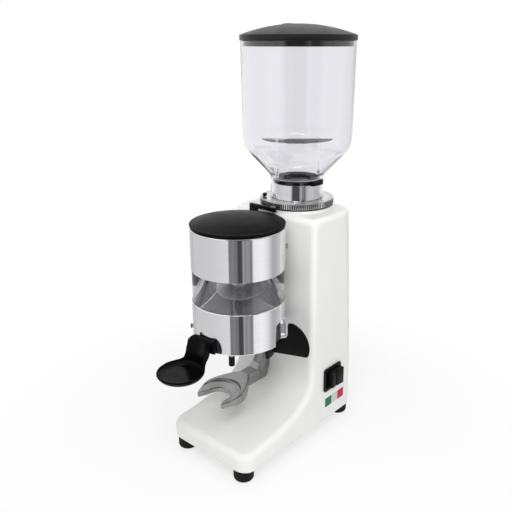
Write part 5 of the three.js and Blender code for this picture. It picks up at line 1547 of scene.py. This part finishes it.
class GRINDER_OT_tamper(bpy.types.Operator):
    """Moulds the tamper: saddle, arm and dished foot"""

    bl_idname = "grinder.tamper"
    bl_label = "Tamper"

    def execute(self, context):
        doser = sizes("doser")
        inner = doser.band_radius + GAP
        saddle = sector(
            box_outline(inner, inner + SADDLE_WALL, SADDLE_LOW, SADDLE_TOP, 2.2),
            TAMPER_ANGLE - SADDLE_HALF, TAMPER_ANGLE + SADDLE_HALF, 28,
        )
        shifted(saddle, 0, DOSER_Y)
        seat = DISH_TOP - DISH_LIP
        back, front = DISH_RADIUS - DISH_LIP * 0.2, DISH_RADIUS - DISH_LIP * 1.1
        far, lean = DISH_RADIUS + ARM_BACK, DISH_RADIUS + ARM_LEAN
        shell = curve((back, seat), (back, DISH_TOP + ARM_DIP), (far, DISH_TOP + ARM_DIP), (far, SADDLE_LOW), 10)
        shell += [(far, SADDLE_TOP), (lean + 3, SADDLE_TOP - 1.5)]
        shell += curve(
            (lean, SADDLE_TOP - 5.5), (lean, SADDLE_LOW + ARM_DIP), (front - 1, SADDLE_LOW), (front, seat), 10
        )
        spread = curve(
            (DISH_RADIUS, DISH_TOP), (ARM_WAIST_HALF, DISH_TOP), (ARM_WAIST_HALF, DISH_TOP + ARM_DIP),
            (ARM_WAIST_HALF, SADDLE_LOW), 12,
        )
        spread += curve(
            (ARM_WAIST_HALF, SADDLE_TOP - ARM_SHOULDER * 1.4), (ARM_WAIST_HALF, SADDLE_TOP - ARM_SHOULDER * 0.4),
            (ARM_TOP_HALF + ARM_SHOULDER * 0.4, SADDLE_TOP), (ARM_TOP_HALF, SADDLE_TOP + GAP), 8,
        )
        face = [(DISH_RADIUS, seat - OVERRUN), *spread]
        face += [(-across, up) for across, up in face[::-1]]
        outline = shifted(slab_y(face, DISH_Y, DOSER_Y), DISH_X + ARM_ASIDE)
        bowl = shifted(drill(inner, seat, SADDLE_TOP, FINE), 0, DOSER_Y)
        arm = carved(shared(shifted(turned(shell), DISH_X, DISH_Y), outline), bowl)
        dish = turned(eased([
            (0, DISH_SOLE), (SOLE_RADIUS, DISH_SOLE, 1.2), (SOLE_RADIUS + DISH_LIP, DISH_SOLE + DISH_LIP, 3),
            (DISH_RADIUS, DISH_TOP - DISH_LIP, 2), (DISH_RADIUS - DISH_LIP / 2, DISH_TOP, 0.9),
            (DISH_RADIUS - DISH_LIP, DISH_TOP, 0.9), (DISH_RADIUS - DISH_LIP * 1.5, DISH_TOP - DISH_LIP, 3),
            (SOLE_RADIUS - DISH_LIP * 2, DISH_FLOOR, 6), (0, DISH_FLOOR),
        ], steps=5))
        shifted(dish, DISH_X, DISH_Y)
        form = as_cast(welded(dish, arm, saddle), TAMPER_GRAIN, 9)
        place_piece("tamper_moulding", form, gloss_black(), "frame", ["tamper"], sharp=80)
        return {"FINISHED"}


# Fork

FORK_X = -14.8
FORK_HALF = 8.5
FORK_TOP = 98.0
FORK_HEIGHT = 19.0
FORK_ROOT = -71.7
FORK_RAMP = -79.0
RAMP_SHARE = 0.95
FORK_NECK = -98.0
FORK_BELLY = -141.0
FORK_BELLY_HALF = 32.4
FORK_TIP = -167.5
FORK_TIP_HALF = 24.6
FORK_TIP_WIDTH = 5.0
THROAT_Y = -134.0
THROAT_HALF = 17.0
FORK_DROP = 10.0
FORK_RIM = 6.6
SEAT_Y = -148.0
SEAT_FLAT = 14.0
SEAT_RIM = 29.4
SEAT_SLOPE = 0.26
SEAT_DROP = 1.84
BRACKET_TOP = 126.0
BRACKET_FLANGE = 4.0
BRACKET_HEEL = 7.0


def fork_plan():
    """The fork seen from above: arm, swelling prongs and a round throat."""
    half = FORK_HALF
    swell = FORK_BELLY_HALF - half
    run = FORK_NECK - FORK_BELLY
    tip_run = FORK_BELLY - FORK_TIP
    throat = THROAT_Y - THROAT_HALF
    inside = FORK_TIP_HALF - FORK_TIP_WIDTH

    def side(s):
        points = [(s * half, FORK_ROOT)]
        points += curve(
            (s * half, FORK_NECK), (s * (half + swell * 0.35), FORK_NECK - run * 0.22),
            (s * FORK_BELLY_HALF, FORK_BELLY + run * 0.3), (s * FORK_BELLY_HALF, FORK_BELLY), 14,
        )
        points += curve(
            points[-1], (s * FORK_BELLY_HALF, FORK_BELLY - tip_run * 0.4),
            (s * (FORK_TIP_HALF + 2.5), FORK_TIP + tip_run * 0.3), (s * FORK_TIP_HALF, FORK_TIP), 10,
        )[1:]
        points += curve(
            (s * (inside + 1.5), FORK_TIP), (s * inside, FORK_TIP + tip_run * 0.2),
            (s * THROAT_HALF, throat - tip_run * 0.2), (s * THROAT_HALF, throat), 8,
        )
        points += curve(
            points[-1], (s * THROAT_HALF, throat + THROAT_HALF * 0.65),
            (s * THROAT_HALF * 0.6, THROAT_Y), (0, THROAT_Y), 10,
        )[1:]
        return points

    return side(1) + side(-1)[::-1][1:]


class GRINDER_OT_fork(bpy.types.Operator):
    """Casts the fork for the filter holder and its bracket"""

    bl_idname = "grinder.fork"
    bl_label = "Fork"

    def execute(self, context):
        low = FORK_TOP - FORK_HEIGHT
        tip_top = FORK_TOP - FORK_DROP
        plan = shifted(prism(fork_plan(), low, BRACKET_TOP), FORK_X)
        profile = slab_x([
            (FORK_ROOT, low), (FORK_ROOT, FORK_TOP + (FORK_ROOT - FORK_RAMP) * RAMP_SHARE), (FORK_RAMP, FORK_TOP),
            (FORK_NECK, FORK_TOP), (FORK_TIP - OVERRUN, tip_top), (FORK_TIP - OVERRUN, tip_top - FORK_RIM),
            (FORK_NECK - FORK_HEIGHT, low),
        ], FORK_X - FORK_BELLY_HALF - OVERRUN, FORK_X + FORK_BELLY_HALF + OVERRUN)
        floor = tip_top - SEAT_DROP
        seat = turned([
            (0, floor), (SEAT_FLAT, floor), (SEAT_RIM, floor + (SEAT_RIM - SEAT_FLAT) * SEAT_SLOPE),
            (SEAT_RIM, FORK_TOP + OVERRUN), (0, FORK_TOP + OVERRUN),
        ])
        form = carved(shared(plan, profile), shifted(seat, FORK_X, SEAT_Y))
        form = as_cast(form, 0.5, 7)
        place_piece("cast_fork", form, satin_cast(), "frame", ["fork"], sharp=80)
        back = sizes("body").front_y - GAP
        front = FORK_ROOT + GAP
        bracket = slab_x([
            (back, SWEEP_END + GAP), (back - BRACKET_HEEL, low), (front, low),
            (front, FORK_TOP + (FORK_ROOT - FORK_RAMP) * RAMP_SHARE),
            (back - BRACKET_FLANGE, BRACKET_TOP - BRACKET_FLANGE), (back - BRACKET_FLANGE, BRACKET_TOP),
            (back, BRACKET_TOP),
        ], FORK_X - FORK_HALF, FORK_X + FORK_HALF)
        bracket = softened(bracket, 0.7, 3, 20)
        place_piece("cast_bracket", bracket, satin_cast(), "frame", ["fork_bracket"])
        return {"FINISHED"}


# Switch

BEZEL_WIDTH = 40.0
BEZEL_HEIGHT = 36.5
BEZEL_THICKNESS = 2.6
BEZEL_ROUND = 4.0
WELL_WIDTH = 34.4
WELL_HEIGHT = 26.6
WELL_DEPTH = 13.0
ROCKER_HALF = 16.4
ROCKER_HEIGHT = 25.6
ROCKER_PROUD = 10.4
ROCKER_DIP = 1.6
ROCKER_SINK = 2.5
ROCKER_DEEP = 6.0
ROCKER_TAPER = 1.1
ROCKER_FRONT = 6.8
ROCKER_GROOVE = 1.4
ROCKER_GROOVE_DEPTH = 3.5


class GRINDER_OT_switch(bpy.types.Operator):
    """Moulds the rocker switch"""

    bl_idname = "grinder.switch"
    bl_label = "Switch"

    def execute(self, context):
        face = sizes("body").half_width + GAP
        width, height, depth = SWITCH_BODY
        frame_outline = box_outline(
            -BEZEL_WIDTH / 2, BEZEL_WIDTH / 2, -BEZEL_HEIGHT / 2, BEZEL_HEIGHT / 2, BEZEL_ROUND
        )
        bezel = softened(slab_x(frame_outline, face, face + BEZEL_THICKNESS), 0.8, 3, 60)
        body = block(face - depth + OVERRUN, face + GAP, -width / 2, width / 2, -height / 2, height / 2)
        well = block(
            face - WELL_DEPTH, face + BEZEL_THICKNESS + OVERRUN, -WELL_WIDTH / 2, WELL_WIDTH / 2,
            -WELL_HEIGHT / 2, WELL_HEIGHT / 2,
        )
        form = shifted(carved(welded(bezel, body), well), 0, SWITCH_Y, SWITCH_Z)
        place_piece("switch_bezel", form, smooth_black(), "frame", ["switch_housing"])
        dip = ROCKER_PROUD - ROCKER_DIP
        step = -ROCKER_HALF + ROCKER_FRONT
        outline = [
            (-ROCKER_DEEP, -ROCKER_HALF + ROCKER_TAPER), (-ROCKER_SINK, -ROCKER_HALF), (-ROCKER_SINK, step),
            (dip, step + GAP), (dip, -ROCKER_GROOVE), (dip - ROCKER_GROOVE_DEPTH, 0), (dip, ROCKER_GROOVE),
            (ROCKER_PROUD, ROCKER_HALF - GAP), (0, ROCKER_HALF), (-ROCKER_DEEP, ROCKER_HALF - ROCKER_TAPER),
        ]
        rocker = softened(prism(outline, -ROCKER_HEIGHT / 2, ROCKER_HEIGHT / 2), 0.6, 3, 25)
        shifted(rocker, face, SWITCH_Y, SWITCH_Z)
        place_piece("rocker_key", rocker, smooth_black(), "rocker", ["switch_rocker"])
        return {"FINISHED"}


# Gland at the rear

GLAND_CAP = 9.0
GLAND_BORE = 3.6
GLAND_PROUD = 9.0
GLAND_RIBS = 10
GLAND_RIB_STEPS = 6
GLAND_RIB_DEPTH = 0.7


class GRINDER_OT_gland(bpy.types.Operator):
    """Makes the ribbed cable gland at the rear"""

    bl_idname = "grinder.gland"
    bl_label = "Cable gland"

    def execute(self, context):
        body = sizes("body")
        out = body.rear_y + GAP
        inside = body.rear_y - body.wall - GAP
        outline = [
            (GLAND_BORE, inside - 5), (GLAND_CAP, inside - 5), (GLAND_CAP, inside), (GLAND_NECK, inside),
            (GLAND_NECK, out), (GLAND_CAP, out), (GLAND_CAP, out + 3), (GLAND_CAP - 0.6, out + 3.6),
            (GLAND_CAP - 1.6, out + GLAND_PROUD - 1.4), (GLAND_CAP - 3, out + GLAND_PROUD),
            (GLAND_BORE + 0.6, out + GLAND_PROUD), (GLAND_BORE, out + GLAND_PROUD - 0.6),
        ]
        steps = GLAND_RIBS * GLAND_RIB_STEPS
        form = dented(
            turned(outline, steps), steps,
            lambda i, reach, z: i % GLAND_RIB_STEPS == 0 and reach > GLAND_CAP - 2 and z > out - 0.1,
            GLAND_RIB_DEPTH,
        )
        form = shifted(moved(form, Matrix.Rotation(-math.pi / 2, 4, "X")), GLAND_X, 0, GLAND_Z)
        place_piece("ribbed_gland", form, smooth_black(), "frame", ["cable_gland"], sharp=30)
        return {"FINISHED"}


# Parts of the frame that keep their own shape and get a real finish

KEPT = {
    "base_plate": sheet_steel, "motor_stator": stator_sheets, "upper_winding": wound_copper,
    "lower_winding": wound_copper, "motor_top_bell": satin_cast, "motor_bottom_bell": satin_cast,
    "bearing_upper": tool_steel, "bearing_lower": tool_steel, "motor_rotor": stator_sheets,
    "grinding_chamber": satin_cast, "lower_burr_carrier": satin_cast, "lower_burr": tool_steel,
    "upper_burr": tool_steel, "chute": satin_cast, "doser_floor": sheet_steel, "fork_screw_lower": plated_steel,
    "fork_screw_upper": plated_steel, "capacitor": capacitor_film, "terminal_block": smooth_black,
}


class GRINDER_OT_inner_parts(bpy.types.Operator):
    """Gives the parts inside the housing their finishes"""

    bl_idname = "grinder.inner_parts"
    bl_label = "Inner parts"

    def execute(self, context):
        for name, finish in KEPT.items():
            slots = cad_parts[name].data.materials
            slots.clear()
            slots.append(finish())
        return {"FINISHED"}


# Stage

CAMERA_PLACE = (542.9, -676.2, 554.3)  # from the grinding axis
CAMERA_AIM = (-0.6259, 0.7239, -0.2902)
CAMERA_SHIFT = (-0.0364, -0.0484)
FLOOR_SIZE = 30000.0
FLOOR_FROM = (0.0, -60.0)  # middle of the floor's shadows, from the grinding axis
FLOOR_NEAR = 200.0  # the floor shows its shadows up to here, and fades into the white beyond
FLOOR_FAR = 470.0
FLOOR_GLOW = 0.72  # of the floor's white that isn't dimmed by shadows
TENT_RADIUS = 330.0  # of the cloth that stands round the doser's axis
TENT_TOP = 640.0
TENT_BRIGHTEST = 1.2
TENT_STEPS = (246.0, 305.0)  # heights at which the stripes change: for the bands, the collar and the hopper
TENT_GREYS = (  # from this many degrees to the camera's right, as seen from the doser: a grey level
    (
        (-180, 1.0), (-165, 1.0), (-155, 0.66), (-127, 0.6), (-125, 0.5), (-122, 0.68), (-60, 0.72), (-40, 0.76),
        (-21, 0.8), (-19.6, 0.2), (-11, 0.26), (-7, 0.2), (-1.8, 0.21), (-1, 0.06), (8.6, 0.08), (9.6, 0.42),
        (11.5, 0.42), (13, 0.26), (21.7, 0.36), (26.3, 0.22), (29.5, 0.28), (32.5, 0.95), (52, 1.05), (66, 0.9),
        (82, 0.48), (93, 0.5), (111, 0.66), (128, 0.7), (136, 0.44), (150, 1.0), (180, 1.0),
    ),
    (
        (-180, 0.12), (-166, 0.12), (-160, 1.0), (-126, 1.0), (-120, 0.02), (-66, 0.02), (-62, 0.8), (-20, 0.7),
        (-16.6, 0.02), (22, 0.02), (25, 0.8), (33, 1.2), (45, 1.0), (50.8, 0.02), (78, 0.02), (82, 0.08),
        (118, 0.08), (125, 1.0), (160, 1.0), (166, 0.12), (180, 0.12),
    ),
    (
        (-180, 1.0), (-120, 1.0), (-75, 1.1), (-30, 1.1), (-18, 0.1), (20, 0.1), (33, 0.7), (38, 0.2), (52, 0.2),
        (62, 0.8), (95, 0.9), (100, 0.72), (130, 0.8), (145, 1.0), (180, 1.0),
    ),
)


def grey_ramp(tree, turned_share, levels):
    """The grey levels by direction, over the brightest one."""
    ramp = node(tree, "ValToRGB", {"Fac": turned_share})
    points = ramp.color_ramp.elements
    for i, (degrees, level) in enumerate(levels):
        point = points[i] if i < 2 else points.new(1.0)
        point.position = (degrees + 180) / 360
        point.color = opaque([level / TENT_BRIGHTEST] * 3)
    return ramp.outputs["Color"]


def facing_of(axis):
    """The way from an upright axis to the camera, in degrees."""
    away = Vector(CAMERA_PLACE) * MM + HEAD - axis
    return math.degrees(math.atan2(away.y, away.x))


def tent_material(facing):
    """White cloth with grey strips, which polished metal shows as upright stripes."""
    material, tree, place = started("white and grey cloth")
    links = {"Vector": measured_from(tree, place, DOSER), "Angle": -math.radians(facing)}
    about = node(tree, "VectorRotate", links, rotation_type="Z_AXIS").outputs["Vector"]
    x, y, z = node(tree, "SeparateXYZ", {"Vector": about}).outputs
    turned_share = ranged(tree, maths(tree, "ARCTAN2", y, x), 0.0, 1.0, -math.pi, math.pi)
    shade, *higher = (grey_ramp(tree, turned_share, levels) for levels in TENT_GREYS)
    for step, upper in zip(TENT_STEPS, higher):
        shade = blend(tree, maths(tree, "GREATER_THAN", z, step * MM), shade, upper)
    return ended(material, node(tree, "Emission", {"Color": shade, "Strength": TENT_BRIGHTEST}).outputs["Emission"])


def shown(tree):
    """1 for rays that show a thing in the picture, a mirror or clear plastic, and 0 for its light on the object."""
    ray = node(tree, "LightPath").outputs
    direct = maths(tree, "MAXIMUM", ray["Is Camera Ray"], ray["Is Glossy Ray"])
    return maths(tree, "MAXIMUM", direct, ray["Is Transmission Ray"])


def floor_material():
    """Matt white board under the object, which fades into the white surround."""
    material, tree, place = started("matt white board")
    middle = Vector((*FLOOR_FROM, 0.0)) * MM + HEAD
    reach = reach_of(tree, measured_from(tree, place, middle))
    fade = ranged(
        tree, reach, FLOOR_GLOW, 1.0, FLOOR_NEAR * MM, FLOOR_FAR * MM, interpolation_type="SMOOTHSTEP"
    )
    board = node(tree, "BsdfDiffuse", {"Color": opaque(linear(0xF6F6F6))}).outputs["BSDF"]
    white = node(tree, "Emission", {"Color": WHITE}).outputs["Emission"]
    return ended(material, mixed(tree, maths(tree, "MULTIPLY", fade, shown(tree)), board, white))


class GRINDER_OT_stage(bpy.types.Operator):
    """Sets up the floor, the surround, the lamps and the camera"""

    bl_idname = "grinder.stage"
    bl_label = "Stage"

    def execute(self, context):
        scene = context.scene
        scene.view_settings.view_transform = "Standard"
        self.floor()
        self.boards()
        self.surround(scene)
        self.lamps()
        self.camera(scene)
        return {"FINISHED"}

    def floor(self):
        form = bmesh.new()
        bmesh.ops.create_grid(form, x_segments=1, y_segments=1, size=FLOOR_SIZE * MM / 2)
        board = as_object(form, "floor_board")
        board.data.materials.append(floor_material())

    def boards(self):
        """The cloth that only mirrors and clear plastic show."""
        facing = facing_of(DOSER)
        form = sector(box_outline(TENT_RADIUS, TENT_RADIUS + 4, 1, TENT_TOP), facing - 180, facing + 179.9, 128)
        moved(form, Matrix.Translation(DOSER) @ Matrix.Scale(MM, 4))
        board = as_object(form, "cloth_tent")
        board.data.materials.append(tent_material(facing))
        board.visible_camera = board.visible_diffuse = False
        board.visible_shadow = board.visible_volume_scatter = False

    def surround(self, scene):
        world = bpy.data.worlds.new("white surround")
        world.use_nodes = True
        tree = world.node_tree
        tree.nodes.clear()
        strength = ranged(tree, shown(tree), settings("studio").sky, 1.0)
        sky = node(tree, "Background", {"Color": WHITE, "Strength": strength}).outputs["Background"]
        node(tree, "OutputWorld", {"Surface": sky})
        scene.world = world

    def lamp(self, name, place, target, size, power):
        data = bpy.data.lights.new(name, "AREA")
        data.shape = "SQUARE"
        data.size = size
        data.energy = power
        lamp = bpy.data.objects.new(name, data)
        lamp.location = HEAD + Vector(place) * MM
        aim = Vector(target) * MM + HEAD - lamp.location
        lamp.rotation_euler = aim.to_track_quat("-Z", "Y").to_euler()
        lamp.visible_camera = False
        lamp.visible_glossy = False
        bpy.context.scene.collection.objects.link(lamp)

    def lamps(self):
        chosen = settings("studio")
        self.lamp("key_lamp", (1500, -500, 1100), (0, -60, 200), 1.4, chosen.key)
        self.lamp("top_lamp", (100, -500, 1900), (0, -80, 150), 1.6, chosen.top)
        self.lamp("front_lamp", (450, -600, 900), (10, -90, 200), 0.5, chosen.front)

    def camera(self, scene):
        data = bpy.data.cameras.new("camera")
        data.lens = settings("studio").lens
        data.sensor_width = 36
        data.shift_x, data.shift_y = CAMERA_SHIFT
        data.clip_start = 0.01
        camera = bpy.data.objects.new("camera", data)
        camera.location = HEAD + Vector(CAMERA_PLACE) * MM
        camera.rotation_euler = Vector(CAMERA_AIM).to_track_quat("-Z", "Y").to_euler()
        scene.collection.objects.link(camera)
        scene.camera = camera


PIECES = (
    GRINDER_OT_housing, GRINDER_OT_label, GRINDER_OT_feet, GRINDER_OT_hopper, GRINDER_OT_hopper_lid, GRINDER_OT_gate,
    GRINDER_OT_grind_ring, GRINDER_OT_lock, GRINDER_OT_doser_bands, GRINDER_OT_doser_lid, GRINDER_OT_star,
    GRINDER_OT_lever, GRINDER_OT_doser_fittings, GRINDER_OT_tamper, GRINDER_OT_fork, GRINDER_OT_switch,
    GRINDER_OT_gland, GRINDER_OT_inner_parts, GRINDER_OT_stage,
)


class GRINDER_PT_pieces(bpy.types.Panel):
    """Lists the pieces and their settings"""

    bl_idname = "GRINDER_PT_pieces"
    bl_label = "Coffee grinder"
    bl_space_type = "VIEW_3D"
    bl_region_type = "UI"
    bl_category = "Coffee grinder"

    def draw(self, context):
        for piece in PIECES:
            self.layout.operator(piece.bl_idname)
        for group, name in GROUPS.items():
            box = self.layout.box()
            box.label(text=name)
            values = getattr(context.scene, "grinder_" + group)
            for field in type(values).__annotations__:
                box.prop(values, field)


GROUPS = {
    "body": "Housing", "hopper": "Hopper", "doser": "Doser", "ring": "Grind ring", "colours": "Colours",
    "studio": "Studio",
}


def register():
    for kind in (*SETTINGS, *PIECES, GRINDER_PT_pieces):
        bpy.utils.register_class(kind)
    for group, kind in zip(GROUPS, SETTINGS):
        setattr(bpy.types.Scene, "grinder_" + group, PointerProperty(type=kind))


def unregister():
    for group in GROUPS:
        delattr(bpy.types.Scene, "grinder_" + group)
    for kind in (GRINDER_PT_pieces, *reversed(PIECES), *reversed(SETTINGS)):
        bpy.utils.unregister_class(kind)


def main():
    register()
    for piece in PIECES:
        family, name = piece.bl_idname.split(".")
        getattr(getattr(bpy.ops, family), name)()


if __name__ == "__main__":
    main()
